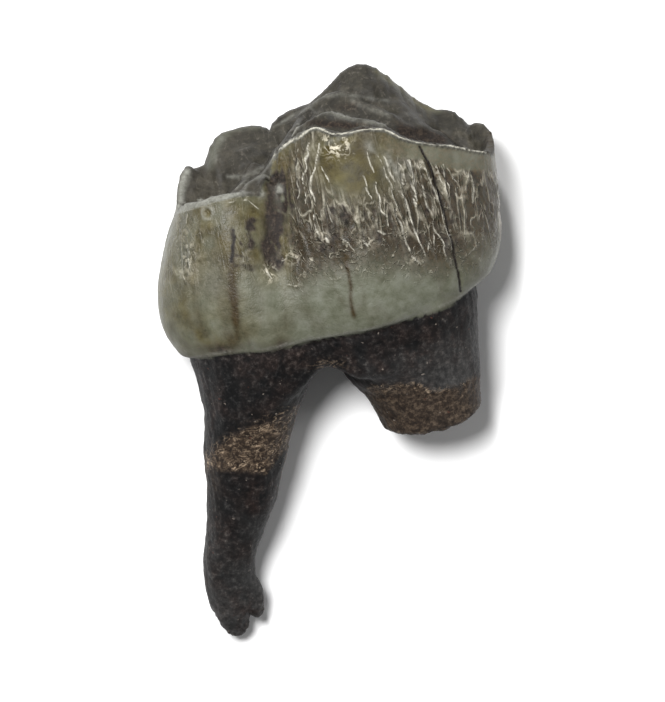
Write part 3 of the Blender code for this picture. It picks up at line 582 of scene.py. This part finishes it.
# Trough: a shallow groove behind the near rim, cut into the relief and darkened with painted shade.
trough = np.maximum(soft_line(px, py, [(312, 124), (326, 125), (345, 126), (366, 130)], 4.5), 0.8 * soft_line(px, py, [(400, 131), (420, 135), (440, 140)], 5.0)) * chew * seen_side
relief -= 0.12 * trough

# ---------------------------------------------------------------- roots
root = 1 - enamel
band_left = root * step(m, -30, -20) * below_line(px, py + 3 * noise(m * 1.3, b * 1.3, o * 1.3, 101), [(195, 462), (217, 450), (230, 440), (244, 431), (269, 422), (297, 408), (310, 398)], 2.5) \
    * (1 - below_line(px, py + 4 * noise(m * 1.2, b * 1.2, o * 1.2, 102), [(195, 474), (222, 469), (244, 471), (262, 471), (280, 458), (300, 425)], 3.0)) * (1 - step(m, -4.5, -3.5))
stub = root * step(m, -0.5, 1.0) * below_line(px, py + 3 * noise(m * 1.1, b * 1.1, o * 1.1, 103), [(340, 392), (369, 389), (387, 387), (415, 385), (431, 393), (450, 390), (462, 385), (480, 376), (500, 368)], 2.5)
back_band = root * (1 - step(m, -4.5, -3.5)) * step(-o + 0.6 * wob, 6.2, 6.7) * (1 - step(-o + 0.7 * noise(m, b, o, 104), 9.2, 9.8)) * (1 - seen_side)
band = np.clip(band_left * seen_side + back_band, 0, 1)
stub = np.where(seen_side > 0.5, stub, root * step(m, -0.5, 1.0) * step(-o + 0.5 * wob, 5.0, 5.5))
streak = strand(noise(m * 2.2 + o * 0.9, b * 1.5, o * 2.0 - m * 0.8, 105), 0.16)
band_edge = root * np.maximum(soft_line(px, py + 2 * noise(m * 2, b * 2, o * 2, 106), [(217, 450), (230, 440), (244, 431), (269, 422), (297, 409)], 2.2),
                              soft_line(px, py + 2 * noise(m * 2, b * 2, o * 2, 107), [(369, 389), (387, 387), (415, 385), (431, 393), (450, 390), (462, 385), (479, 377)], 1.8)) * seen_side
tip = root * (1 - step(o, -18.6, -16.6))
broken = root * np.maximum((1 - step(o, -20.2, -19.4)), (1 - step(o, -8.4, -7.9)) * step(m, -0.5, 1.0))
r1 = layered(m * 1.1, b * 1.1, o * 0.5, 111, 3)
r2 = layered(m * 2.6, b * 2.6, o * 2.0, 112, 3, 0.6)
along = noise(m * 2.4 + 0.4 * r1, b * 2.4, o * 0.22, 113)
relief += root * (0.08 * r1 + 0.05 * r2 + 0.03 * along)
relief += -0.07 * band + 0.05 * band * streak - 0.06 * stub + 0.035 * stub * streak + 0.04 * band_edge
relief += tip * (0.20 * layered(m * 1.5, b * 1.5, o * 1.3, 114, 3) + 0.07 * r2) + broken * (0.16 * layered(m * 1.9, b * 1.9, o * 1.9, 115, 3, 0.6) - 0.05)
canal = root * (1 - step(o, -8.3, -7.8)) * np.exp(-((m - 5.6) / 0.55) ** 2 - ((b - 0.7) / 0.9) ** 2)
relief -= 0.8 * canal
arch = root * spot(px, py, 329, 366, 14, 5) * seen_side
relief += 0.08 * arch * r2
# Under edge: a slight crease just under the enamel's lower edge; it is also darkened with painted shade.
under_edge = np.exp(-((o - neck + 0.12) / 0.14) ** 2)
relief -= 0.05 * under_edge * (0.6 + 0.6 * noise(m * 1.2, b * 1.2, o, 116))
P = P + N * np.clip(relief, -0.9, 0.28)[:, None]

# ---------------------------------------------------------------- laid down on the table, in metres
turn = np.array((Matrix.Rotation(ROW_TURN, 3, "Z") @ Matrix.Rotation(REST_TILT, 3, "X")).transposed())
row = np.stack([P[:, 0], P[:, 2], P[:, 1]], 1) @ turn
clo, chi = np.array(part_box("tooth")[0]) * 1000, np.array(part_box("tooth")[1]) * 1000
lo, hi = row.min(0), row.max(0)
shift = np.array([(clo[0] + chi[0]) / 2 - (lo[0] + hi[0]) / 2, (clo[1] + chi[1]) / 2 - (lo[1] + hi[1]) / 2, -(lo[2] + 0.14)])
row = row + shift
row[:, 2] = np.maximum(row[:, 2], 0.0)
Q = Q[:, ::-1]
skin = bpy.data.meshes.new("tooth_skin")
skin.from_pydata((row * 0.001).tolist(), [], Q.tolist())
skin.update()
skin.shade_smooth()
tooth = bpy.data.objects.new("fossil_tooth", skin)
bpy.context.scene.collection.objects.link(tooth)


def mask(name, values):
    layer = skin.attributes.new(name, "FLOAT", "POINT")
    layer.data.foreach_set("value", np.clip(values, 0, 1).astype(np.float32))


left_lobe = 1 - right_lobe
mask("enamel", enamel)
left_border = np.maximum(soft_line(px, py, [(209, 166), (214, 150), (220, 138), (229, 131)], 4.5), 0.6 * soft_line(px, py, [(229, 131), (245, 128), (262, 127)], 2.5)) * seen_side * enamel
mask("chew", chew * (1 - 0.55 * flank - 0.45 * left_border))
brown_amount = ridge_zone * (0.30 + 0.50 * right_lobe) * (0.75 + 0.5 * lumps) + ridge_zone * 0.35 * step(m, 9.5, 11.5) + 0.45 * back_zone
brown_amount = brown_amount * (1 - 0.5 * left_lobe * step(o, 0, 9)) + 0.25 * ridge_zone * right_lobe * (1 - step(m, 9.5, 11.5)) + 0.12 * left_lobe * cheek * np.clip(layered(m * 0.45, b * 0.4, o * 0.25, 124, 3) + 0.05, 0, 1) + 0.62 * worn * (0.75 + 0.6 * lumps)
brown_amount += cheek * 0.4 * np.clip(soft_line(px, py, [(290, 160), (290, 200), (296, 240)], 9), 0, 1) * np.clip(0.5 + layered(m * 2, b, o * 0.4, 125, 2), 0, 1)
mask("brown", brown_amount)
mask("olive", 0.95 * olive_top + 0.55 * worn * (1 - step(px, 385, 420)) + 0.95 * left_lobe * cheek * np.clip(0.75 + 0.9 * lumps, 0, 1) * (1 - 0.8 * spot(px, py, 272, 305, 34, 30)) * (1 - 0.45 * spot(px, py, 214, 284, 16, 26)) + 0.95 * flank + 0.25 * tongue)
# Pale colour: partly the tooth's own pale enamel (chips, rims, the left rim band, patches) and partly painted highlight
# on the ridge crests, on the ring bump and in the gleam patch.
pale_amount = 0.25 * ridge * ridge_zone * strong * (1 - step(m, 9.8, 11.0) * 0.6) + 0.8 * chips + 0.5 * ring + 0.62 * rim_lines * (1 - wall) * np.clip(0.75 + 0.7 * layered(m * 1.8, b * 1.8, o * 1.8, 137, 2), 0.2, 1.1) + 0.76 * left_rim * np.clip(0.9 + 0.6 * grain, 0.4, 1.1) + 0.6 * soft_line(px, py, [(181.5, 202), (182.5, 186), (185, 176), (187.5, 171)], 3.2) * seen_side * enamel \
    + 0.35 * gleam * step(layered(m * 2.6, b * 2.6, o * 2.6, 73, 2), 0.0, 0.4) + 0.50 * np.clip(1.1 * spot(px, py, 370, 152, 5, 12, -25) + 1.3 * spot(px, py, 394, 168, 9, 15, -25) + 0.7 * spot(px, py, 412, 170, 7, 8), 0, 1) * np.clip(0.62 + 1.3 * layered(m * 2.2, b * 2.2, o * 0.9, 128, 3), 0, 1) * cheek * seen_side + 0.12 * back_zone * strand(noise(m * 0.9 + 0.2 * wob, b, o * 0.14, 71), 0.14)
# Painted highlight: a pale streak down the crown's right edge.
pale_amount += 0.55 * soft_line(px, py, [(494, 160), (496.5, 180), (498, 205), (497.5, 232)], 2.4) * cheek * faces_up * np.clip(0.6 + 0.8 * layered(m * 2, b * 2, o * 1.2, 138, 2), 0.1, 1)
pale_amount += 0.30 * spot(px, py, 213, 282, 14, 22) * cheek * seen_side * np.clip(0.8 + 0.8 * lumps, 0, 1) + 0.45 * np.exp(-((o - neck - 0.20) / 0.13) ** 2) * cheek * seen_side * np.clip(0.7 + 0.7 * lumps, 0, 1)
mask("pale", pale_amount)
mask("line", np.maximum(line_soft, np.maximum(0.8 * second_rim, np.maximum(rim_soft, 0.62 * left_rim_edge))))
# Two spots on the left lobe get small raised folds whose cream crests are painted highlight flecks.
glint_fleck_zone = 0.42 * cheek * seen_side * np.clip(spot(px, py, 186, 252, 15, 44) + 0.8 * spot(px, py, 244, 262, 12, 16), 0, 1)
mask("ridges", (ridge_zone * (0.10 + 0.90 * right_lobe) * (1 - 0.7 * gleam) * (1 - 0.8 * groove_dark) + glint_fleck_zone + 0.22 * back_zone) * (1 - 0.25 * step(m, 9.8, 11.5)))
mask("warm", olive_top * np.clip(0.85 + 0.4 * lumps, 0, 1))
mask("gleam", gleam)
# Painted highlight: where cream glint flecks are painted, in the gleam patch and at small spots over both lobes.
mask("painted_glints", (gleam + 0.9 * (0.5 * spot(px, py, 291, 257, 9, 7) + spot(px, py, 270, 274, 6, 8)) + 0.6 * (spot(px, py, 320, 238, 7, 7) + spot(px, py, 366, 243, 8, 6) + 0.5 * spot(px, py, 414, 261, 8, 5)) + 0.35 * spot(px, py, 189, 255, 8, 26)) * cheek * seen_side)
mask("low", step(py + 8 * lumps, 222, 246) * step(px, 285, 300) * cheek + 0.5 * left_lobe)
mask("light", 0.5 * step(-m, 2.6, 3.6) * chew * (1 - 0.5 * left_border))
bx, by = px + 3.5 * noise(m * 1.7, b, o * 1.7, 119), py + 3.5 * noise(m * 1.7, b, o * 1.7, 120)
blot = np.clip(spot(bx, by, 344, 213, 9, 9) * 1.5 + spot(bx, by, 322, 246, 8, 8) * 1.3 + spot(bx, by, 250, 232, 6, 9) * 2.6 + 2.6 * spot(bx, by, 247, 245, 7, 5) + 1.2 * spot(bx, by, 257, 222, 4, 3) + 0.8 * spot(bx, by, 333, 205, 6, 6), 0, 1) * np.clip(0.55 + 1.7 * layered(m * 2.0, b * 2.0, o * 1.6, 121, 3), 0, 1)
broken_up = np.clip(0.85 + 1.5 * layered(m * 2.3, b * 2.3, o * 1.3, 131, 3), 0, 1.3)
line_stain = np.maximum(1.15 * np.clip(0.9 + 0.5 * broken_up - 0.4, 0.55, 1) * soft_line(px + 1.2 * noise(m * 1.7, b, o * 1.7, 32), py, [(233, 230), (234, 242), (233, 262)], 2.3), 0.8 * broken_up * soft_line(px, py + 2 * noise(m * 2, b, o * 2, 33), [(236, 255), (252, 260)], 2.4))
line_stain = np.maximum(line_stain, 0.8 * broken_up * soft_line(px, py + 2 * noise(m * 2, b, o * 2, 34), [(234, 267), (258, 269)], 2.6))
smear = strand(noise(m * 0.55 + 0.25 * wob, b * 0.5, o * 0.16, 35), 0.22) * np.clip(0.5 + layered(m, b, o * 0.5, 36, 3), 0, 1)
# Dark colour: stains, blots, cracks, folds and the groove, together with painted shade in the cavity, the pit, the
# trough and at the enamel's lower edge.
dark_amount = (blot + 0.9 * line_stain) * cheek * seen_side + 0.85 * fold_dark + 0.10 * smear * wall * (1 - ridge_zone) + 0.5 * fine_crack + 0.9 * groove_dark + 0.75 * pits * ridge_zone * strong * 2.0 + cavity * 1.0 + 0.9 * trough + pit + 0.45 * under_edge * enamel
# The last term here is painted shade along the left lobe's lower edge; the last term of the next statement is painted
# shade darkening the enamel towards its lower edge all round.
dark_amount += (0.55 * spot(px, py, 350, 108, 26, 6) + 0.4 * spot(px, py, 405, 126, 18, 5, 12)) * chew * seen_side + 0.6 * spot(px, py, 331, 230, 9, 13) * cheek * seen_side + 0.40 * np.clip(soft_line(px, py, [(170, 326), (178, 338), (190, 346), (205, 348), (228, 348), (250, 346)], 5.5), 0, 1) * cheek * seen_side * np.clip(0.7 + 0.6 * lumps, 0, 1)
dark_amount += ridge_zone * right_lobe * 0.5 * strand(noise(fan * 2.3 + 5, o * 0.2, 0.3 * b, 122), 0.12) + (0.25 + 0.5 * left_lobe * np.clip(0.7 + lumps, 0, 1)) * np.exp(-((o - neck) / 0.8) ** 2) * wall
mask("dark", dark_amount)
streaky = np.clip(0.65 + 0.9 * layered(m * 1.5, b * 1.5, o * 0.9, 37, 3), 0, 1.2)
rust_amount = (np.maximum(soft_line(px + 2 * noise(m, b, o * 0.8, 38), py, [(233, 262), (232, 285), (235, 310), (238, 340)], 4.3), 0.9 * spot(px, py, 235, 338, 9, 13)) * np.clip(0.55 + 0.6 * streaky, 0, 1.1)
               + 1.15 * np.clip(0.5 + 0.6 * streaky, 0, 1) * soft_line(px + 1.2 * noise(m * 1.5, b, o * 1.2, 39), py, [(345.5, 256), (347, 270), (350, 286), (351, 303), (354, 317)], 1.9) + 0.2 * soft_line(px, py, [(285, 290), (286, 330)], 1.5) + spot(px, py, 267, 261, 3, 4)) * cheek * seen_side
rust_amount += 0.35 * smear * wall * (1 - ridge_zone) + 0.45 * right_basin + fine_crack * 0.6 + 0.35 * wall * np.clip(layered(m * 0.35, b * 0.35, o * 0.2, 123, 2) - 0.25, 0, 1) * 2
mask("rust", rust_amount)
mask("band", np.clip(band * 0.95 + stub * 0.85 + 0.35 * band_edge + 0.35 * spot(px, py, 214, 482, 6, 22) * root * seen_side, 0, 1))
torn = np.clip(0.5 + 1.3 * layered(m * 1.7, b * 1.7, o * 1.7, 126, 2), 0, 1)
rim_of_band = np.maximum(soft_line(px, py + 2 * noise(m * 2, b * 2, o * 2, 129), [(205, 456), (217, 449), (230, 440), (244, 431), (269, 422), (297, 409)], 5.0),
                         0.8 * soft_line(px, py, [(228, 464), (244, 466), (270, 462)], 4.0)) * root * seen_side
rim_of_stub = soft_line(px, py + 2 * noise(m * 2, b * 2, o * 2, 130), [(369, 389), (387, 387), (415, 385), (431, 393), (450, 390), (462, 385), (479, 377)], 3.0) * root * seen_side
mask("tan", np.clip(band * (0.20 + 0.55 * torn) + rim_of_band * (0.15 + 0.95 * torn) + rim_of_stub * (0.15 + 0.9 * torn) + stub * 0.16 * torn + 0.7 * arch, 0, 1))
mask("ruddy", np.clip(0.45 + 0.9 * layered(m * 0.7, b * 0.7, o * 0.5, 127, 2) + 0.3 * tip, 0, 1) * root)
mask("lift", np.clip(-0.04 + 0.85 * step(m, -1, 8) * root * step(-o, 0.2, 2.5) + 0.75 * (1 - step(o, -17.5, -9)) + 0.25 * r1, 0, 1))
stain_d, stain_t = line_distance(px + 1.0 * noise(m * 1.7, b, o * 1.7, 32), py, [(234.5, 231), (235.5, 239), (233, 248), (234, 255), (232.5, 262)])
mask("hole", canal)
mask("crack", np.maximum(1.25 * np.exp(-(crack_d / 2.1) ** 2), 1.18 * np.exp(-(stain_d / 3.0) ** 2) * np.clip(0.95 + 0.35 * noise(m * 2, b, o * 2, 136), 0.7, 1)) * cheek * seen_side)
mask("sheen", np.clip(-0.9 * olive_top + 0.5 * rough_zone + 0.5 * rim_lines + 0.1 * cheek, 0, 1))

# ---------------------------------------------------------------- material
GAIN = 0.78


def tone(r, g, b_, gain=None):
    """Surface colour for a tone of 0 to 255 as the eye sees it under this light."""
    lin = [((v / 255 + 0.055) / 1.055) ** 2.4 if v > 10 else v / 255 / 12.92 for v in (r, g, b_)]
    return tuple(v * (GAIN if gain is None else gain) for v in lin) + (1.0,)


mat = bpy.data.materials.new("fossil_enamel_and_dentine")
mat.use_nodes = True
nt = mat.node_tree
shader = nt.nodes["Principled BSDF"]


def node(kind, **values):
    n = nt.nodes.new(kind)
    for k, v in values.items():
        if hasattr(n, k):
            setattr(n, k, v)
        else:
            n.inputs[k.replace("_", " ")].default_value = v
    return n


def link(a, c):
    nt.links.new(a, c)


def attr(name):
    return node("ShaderNodeAttribute", attribute_type="GEOMETRY", attribute_name=name).outputs["Fac"]


def mix(fac, a, c):
    n = node("ShaderNodeMix", data_type="RGBA", blend_type="MIX")
    for sock, v in ((n.inputs["Factor"], fac), (n.inputs["A"] if False else n.inputs[6], a), (n.inputs[7], c)):
        if isinstance(v, (tuple, float, int)):
            sock.default_value = v
        else:
            link(v, sock)
    return n.outputs[2]


def math_(op, a, c=0.0, clamp=False):
    n = node("ShaderNodeMath", operation=op, use_clamp=clamp)
    for sock, v in ((n.inputs[0], a), (n.inputs[1], c)):
        if isinstance(v, (float, int)):
            sock.default_value = v
        else:
            link(v, sock)
    return n.outputs[0]


coord = node("ShaderNodeTexCoord").outputs["Object"]


def noise_tex(scale, detail=4.0, rough=0.6, distortion=0.0):
    n = node("ShaderNodeTexNoise")
    n.inputs["Scale"].default_value = scale
    n.inputs["Detail"].default_value = detail
    n.inputs["Roughness"].default_value = rough
    n.inputs["Distortion"].default_value = distortion
    link(coord, n.inputs["Vector"])
    return n.outputs["Fac"]


def ramp(fac, *stops):
    n = node("ShaderNodeValToRGB")
    el = n.color_ramp.elements
    while len(el) < len(stops):
        el.new(0.5)
    for e, (p, c) in zip(el, stops):
        e.position = p
        e.color = c
    link(fac, n.inputs["Fac"])
    return n.outputs["Color"]


def level(fac, lo_, hi_):
    n = node("ShaderNodeMapRange")
    n.inputs["From Min"].default_value = lo_
    n.inputs["From Max"].default_value = hi_
    link(fac, n.inputs["Value"])
    return n.outputs["Result"]


aligned = node("ShaderNodeVectorRotate", rotation_type="Z_AXIS")
link(coord, aligned.inputs["Vector"])
aligned.inputs["Angle"].default_value = -ROW_TURN


def fold_tex(scale, stretch, width, seed, swirl=0.6):
    """1 along the crests of thin folds that run up the crown and join each other."""
    n = node("ShaderNodeMapping")
    n.inputs["Scale"].default_value = (scale, scale * stretch, scale * 0.5)
    n.inputs["Location"].default_value = (seed, seed * 0.7, seed * 1.3)
    link(aligned.outputs[0], n.inputs["Vector"])
    t = node("ShaderNodeTexNoise")
    t.inputs["Scale"].default_value = 1.0
    t.inputs["Detail"].default_value = 1.0
    t.inputs["Roughness"].default_value = 0.4
    t.inputs["Distortion"].default_value = swirl
    link(n.outputs[0], t.inputs["Vector"])
    away = math_("ABSOLUTE", math_("SUBTRACT", t.outputs["Fac"], 0.5))
    return math_("SUBTRACT", 1.0, math_("DIVIDE", away, width), True)


broad, mid, fine, speck = noise_tex(220, 3), noise_tex(900, 5, 0.65), noise_tex(3600, 4, 0.7), noise_tex(2600, 2, 0.5)
folds = math_("MAXIMUM", fold_tex(1000, 0.20, 0.052, 3.1), math_("MULTIPLY", fold_tex(1900, 0.24, 0.060, 7.7), 0.5))
small_folds = math_("MULTIPLY", fold_tex(2300, 0.75, 0.05, 21.3), level(noise_tex(1500, 2, 0.5), 0.42, 0.60))
fmix = node("ShaderNodeMix", data_type="FLOAT")
link(attr("low"), fmix.inputs[0])
link(folds, fmix.inputs[2])
link(small_folds, fmix.inputs[3])
folds = fmix.outputs[0]
patchy = level(noise_tex(1300, 3, 0.6), 0.34, 0.56)
grit = noise_tex(2400, 5, 0.75)
pale_base = ramp(mid, (0.30, tone(84, 86, 69)), (0.50, tone(104, 106, 91)), (0.70, tone(122, 124, 112)))
olive_col = ramp(mid, (0.30, tone(48, 40, 12)), (0.48, tone(76, 67, 29)), (0.70, tone(104, 96, 56)))
brown_col = ramp(fine, (0.30, tone(46, 35, 22)), (0.5, tone(80, 65, 46)), (0.75, tone(118, 102, 78)))
brown_col = mix(math_("MULTIPLY", level(mid, 0.5, 0.7), 0.45), brown_col, tone(96, 92, 76))
col = mix(math_("MULTIPLY", attr("olive"), level(broad, 0.2, 0.6)), pale_base, olive_col)
col = mix(math_("MULTIPLY", attr("warm"), 0.88), col, ramp(mid, (0.3, tone(44, 35, 7)), (0.7, tone(88, 78, 32))))
col = mix(math_("MULTIPLY", attr("brown"), level(fine, 0.25, 0.6), True), col, brown_col)
col = mix(math_("MULTIPLY", math_("MULTIPLY", math_("POWER", math_("SUBTRACT", 1.0, folds), 2.0), attr("ridges")), 0.80, True), col, ramp(mid, (0.3, tone(14, 9, 5)), (0.7, tone(58, 45, 29))))
# Cream fold crests: partly pale enamel, partly painted highlight.
col = mix(math_("MULTIPLY", math_("MULTIPLY", folds, patchy), math_("MULTIPLY", attr("ridges"), 0.9), True), col, ramp(fine, (0.3, tone(150, 141, 120)), (0.7, tone(236, 231, 214))))
col = mix(math_("MULTIPLY", level(fine, 0.58, 0.72), 0.40), col, tone(72, 64, 48))
chew_col = ramp(mid, (0.28, tone(26, 23, 17)), (0.5, tone(47, 44, 36)), (0.72, tone(72, 68, 58)))
chew_col = mix(math_("MULTIPLY", level(fine, 0.60, 0.75), 0.5), chew_col, tone(92, 87, 76))
chew_col = mix(math_("MULTIPLY", attr("light"), level(broad, 0.3, 0.6)), chew_col, ramp(grit, (0.35, tone(58, 54, 45)), (0.6, tone(90, 85, 75))))
col = mix(attr("chew"), col, chew_col)
chew_scrape = math_("MULTIPLY", fold_tex(700, 0.5, 0.03, 31.7, 1.0), math_("MULTIPLY", attr("chew"), level(fine, 0.45, 0.7)))
col = mix(math_("MULTIPLY", chew_scrape, 0.42), col, tone(132, 126, 116))
col = mix(math_("MULTIPLY", math_("MULTIPLY", attr("chew"), level(noise_tex(520, 3, 0.6), 0.50, 0.66)), 0.5), col, tone(30, 26, 20))
col = mix(attr("rust"), col, ramp(fine, (0.3, tone(42, 33, 15)), (0.7, tone(68, 56, 33))))
col = mix(level(math_("ADD", attr("dark"), math_("MULTIPLY", math_("SUBTRACT", mid, 0.5), 1.1)), 0.18, 0.86), col, ramp(fine, (0.34, tone(20, 15, 12)), (0.52, tone(42, 34, 28)), (0.66, tone(70, 60, 50))))
col = mix(attr("pale"), col, ramp(fine, (0.3, tone(118, 118, 108)), (0.7, tone(168, 168, 160))))
# Bright crest and rim lines: partly pale enamel, partly painted highlight.
col = mix(math_("MULTIPLY", level(attr("line"), 0.50, 0.92), math_("ADD", 0.30, math_("MULTIPLY", patchy, 0.70)), True), col, ramp(fine, (0.3, tone(158, 152, 134)), (0.7, tone(234, 231, 218))))
# Painted highlight: cream glint flecks mixed into the colour.
painted_glints = math_("MULTIPLY", fold_tex(1150, 0.7, 0.070, 41.3, 1.8), level(noise_tex(1000, 2, 0.5), 0.40, 0.54))
painted_glints = math_("MAXIMUM", painted_glints, math_("MULTIPLY", level(noise_tex(1900, 3, 0.6), 0.55, 0.61), 0.9))
col = mix(math_("MULTIPLY", painted_glints, attr("painted_glints"), True), col, tone(226, 218, 196))
col = mix(level(attr("crack"), 0.66, 0.98), col, tone(26, 21, 17))
root_col = ramp(grit, (0.30, tone(2, 2, 3)), (0.52, tone(9, 9, 10)), (0.64, tone(40, 39, 39)), (0.76, tone(84, 82, 78)))
root_lift = ramp(grit, (0.30, tone(44, 44, 44)), (0.50, tone(76, 75, 74)), (0.62, tone(94, 93, 91)), (0.74, tone(118, 116, 112)))
root_ruddy = ramp(grit, (0.30, tone(14, 9, 8)), (0.50, tone(40, 31, 28)), (0.62, tone(68, 58, 54)), (0.74, tone(100, 90, 84)))
rcol = mix(math_("MULTIPLY", attr("lift"), level(broad, 0.2, 0.7)), root_col, root_lift)
rcol = mix(math_("MULTIPLY", attr("ruddy"), level(mid, 0.35, 0.65)), rcol, root_ruddy)
rcol = mix(attr("band"), rcol, ramp(grit, (0.30, tone(16, 10, 7)), (0.50, tone(52, 42, 34)), (0.66, tone(92, 78, 64))))
fibres = math_("MULTIPLY", fold_tex(900, 2.4, 0.06, 12.4, 1.2), level(grit, 0.42, 0.56))
rcol = mix(math_("MULTIPLY", attr("tan"), math_("MAXIMUM", fibres, math_("MULTIPLY", level(fine, 0.56, 0.68), 0.7)), True), rcol, ramp(fine, (0.3, tone(132, 110, 86)), (0.7, tone(206, 184, 158))))
rcol = mix(math_("MULTIPLY", level(speck, 0.72, 0.77), 0.6), rcol, tone(150, 140, 130))
rcol = mix(math_("MULTIPLY", level(noise_tex(1900, 1, 0.5), 0.76, 0.80), 0.45), rcol, tone(96, 62, 52))
rcol = mix(math_("MULTIPLY", attr("hole"), 0.85), rcol, tone(8, 7, 6))
col = mix(attr("enamel"), rcol, col)
link(col, shader.inputs["Base Color"])
rough_enamel = math_("SUBTRACT", math_("SUBTRACT", 0.45, math_("MULTIPLY", attr("sheen"), 0.12)), math_("MULTIPLY", attr("gleam"), 0.14))
rough_enamel = math_("ADD", rough_enamel, math_("ADD", math_("MULTIPLY", attr("chew"), 0.10), math_("MULTIPLY", attr("dark"), 0.35)))
rough_enamel = math_("ADD", rough_enamel, math_("MULTIPLY", attr("warm"), 0.18))
rough_enamel = math_("ADD", rough_enamel, math_("MULTIPLY", math_("SUBTRACT", mid, 0.5), 0.35))
rough_root = math_("ADD", 0.62, math_("MULTIPLY", math_("SUBTRACT", fine, 0.5), 0.4))
rmix = node("ShaderNodeMix", data_type="FLOAT")
link(attr("enamel"), rmix.inputs[0])
link(rough_root, rmix.inputs[2])
link(rough_enamel, rmix.inputs[3])
link(rmix.outputs[0], shader.inputs["Roughness"])
shader.inputs["IOR"].default_value = 1.5
shader.inputs["Specular IOR Level"].default_value = 0.26
shader.inputs["Metallic"].default_value = 0.0
bump1 = node("ShaderNodeBump")
bump1.inputs["Strength"].default_value = 0.55
bump1.inputs["Distance"].default_value = 0.00008
link(math_("ADD", fine, math_("MULTIPLY", mid, 0.8)), bump1.inputs["Height"])
bump2 = node("ShaderNodeBump")
bump2.inputs["Strength"].default_value = 0.9
bump2.inputs["Distance"].default_value = 0.00026
link(math_("MULTIPLY", folds, attr("ridges")), bump2.inputs["Height"])
link(bump1.outputs["Normal"], bump2.inputs["Normal"])
link(bump2.outputs["Normal"], shader.inputs["Normal"])
dull = mat.copy()
dull.name = "fossil_root"
dull.node_tree.nodes["Principled BSDF"].inputs["Specular IOR Level"].default_value = 0.14
skin.materials.append(mat)
skin.materials.append(dull)
skin.polygons.foreach_set("material_index", (enamel[Q].mean(axis=1) < 0.5).astype(np.int32))

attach(tooth, "root")
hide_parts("tooth")

# ---------------------------------------------------------------- floor, light and camera
floor_mesh = bpy.data.meshes.new("floor")
floor_mesh.from_pydata([(-2, -2, 0), (2, -2, 0), (2, 2, 0), (-2, 2, 0)], [], [(0, 1, 2, 3)])
floor = bpy.data.objects.new("floor", floor_mesh)
floor.location = (0, 0, -0.00002)
bpy.context.scene.collection.objects.link(floor)
paper = bpy.data.materials.new("paper")
paper.use_nodes = True
pb = paper.node_tree.nodes["Principled BSDF"]
pb.inputs["Base Color"].default_value = (0.9, 0.9, 0.9, 1)
pb.inputs["Roughness"].default_value = 0.9
pb.inputs["Specular IOR Level"].default_value = 0.1
floor_mesh.materials.append(paper)

world = bpy.data.worlds.new("studio")
world.use_nodes = True
world.node_tree.nodes["Background"].inputs[0].default_value = (1, 1, 1, 1)
world.node_tree.nodes["Background"].inputs[1].default_value = 0.19
bpy.context.scene.world = world


def area(name, place, aim, size, watts):
    data = bpy.data.lights.new(name, "AREA")
    data.shape = "DISK"
    data.size = size
    data.energy = watts
    obj = bpy.data.objects.new(name, data)
    obj.location = place
    obj.rotation_mode = "QUATERNION"
    obj.rotation_quaternion = (Vector(aim) - Vector(place)).to_track_quat("-Z", "Y")
    bpy.context.scene.collection.objects.link(obj)
    return obj


area("key", (-0.16, 0.17, 0.62), (0, 0, 0.005), 0.21, 6.1)
area("glint", (-0.10, 0.45, 0.46), (0, 0, 0.005), 0.06, 1.7)
area("side", (0.62, -0.05, 0.34), (0, 0, 0.005), 0.20, 0.7)

tooth_to_row = Matrix.Rotation(ROW_TURN, 3, "Z") @ Matrix.Rotation(REST_TILT, 3, "X")
tooth_to_eye = Matrix.Rotation(ROW_TURN, 3, "Z") @ Matrix.Rotation(ALPHA, 3, "X")
eye_to_row = tooth_to_row @ tooth_to_eye.transposed()
centre = eye_to_row @ Vector(((332.5 - 335) * MM_PER_PX, -(351 - 333) * MM_PER_PX, 0.0))
centre = (centre + Vector(shift.tolist())) * 0.001
DISTANCE = 1.0
cam_data = bpy.data.cameras.new("camera")
cam_data.sensor_width = 36.0
cam_data.lens = 36.0 * DISTANCE / (702 * MM_PER_PX * 0.001)
cam_data.clip_start, cam_data.clip_end = 0.05, 10.0
camera = bpy.data.objects.new("camera", cam_data)
camera.rotation_mode = "QUATERNION"
camera.rotation_quaternion = eye_to_row.to_quaternion()
camera.location = centre + eye_to_row @ Vector((0, 0, DISTANCE))
bpy.context.scene.collection.objects.link(camera)
bpy.context.scene.camera = camera
bpy.context.scene.view_settings.view_transform = "Standard"
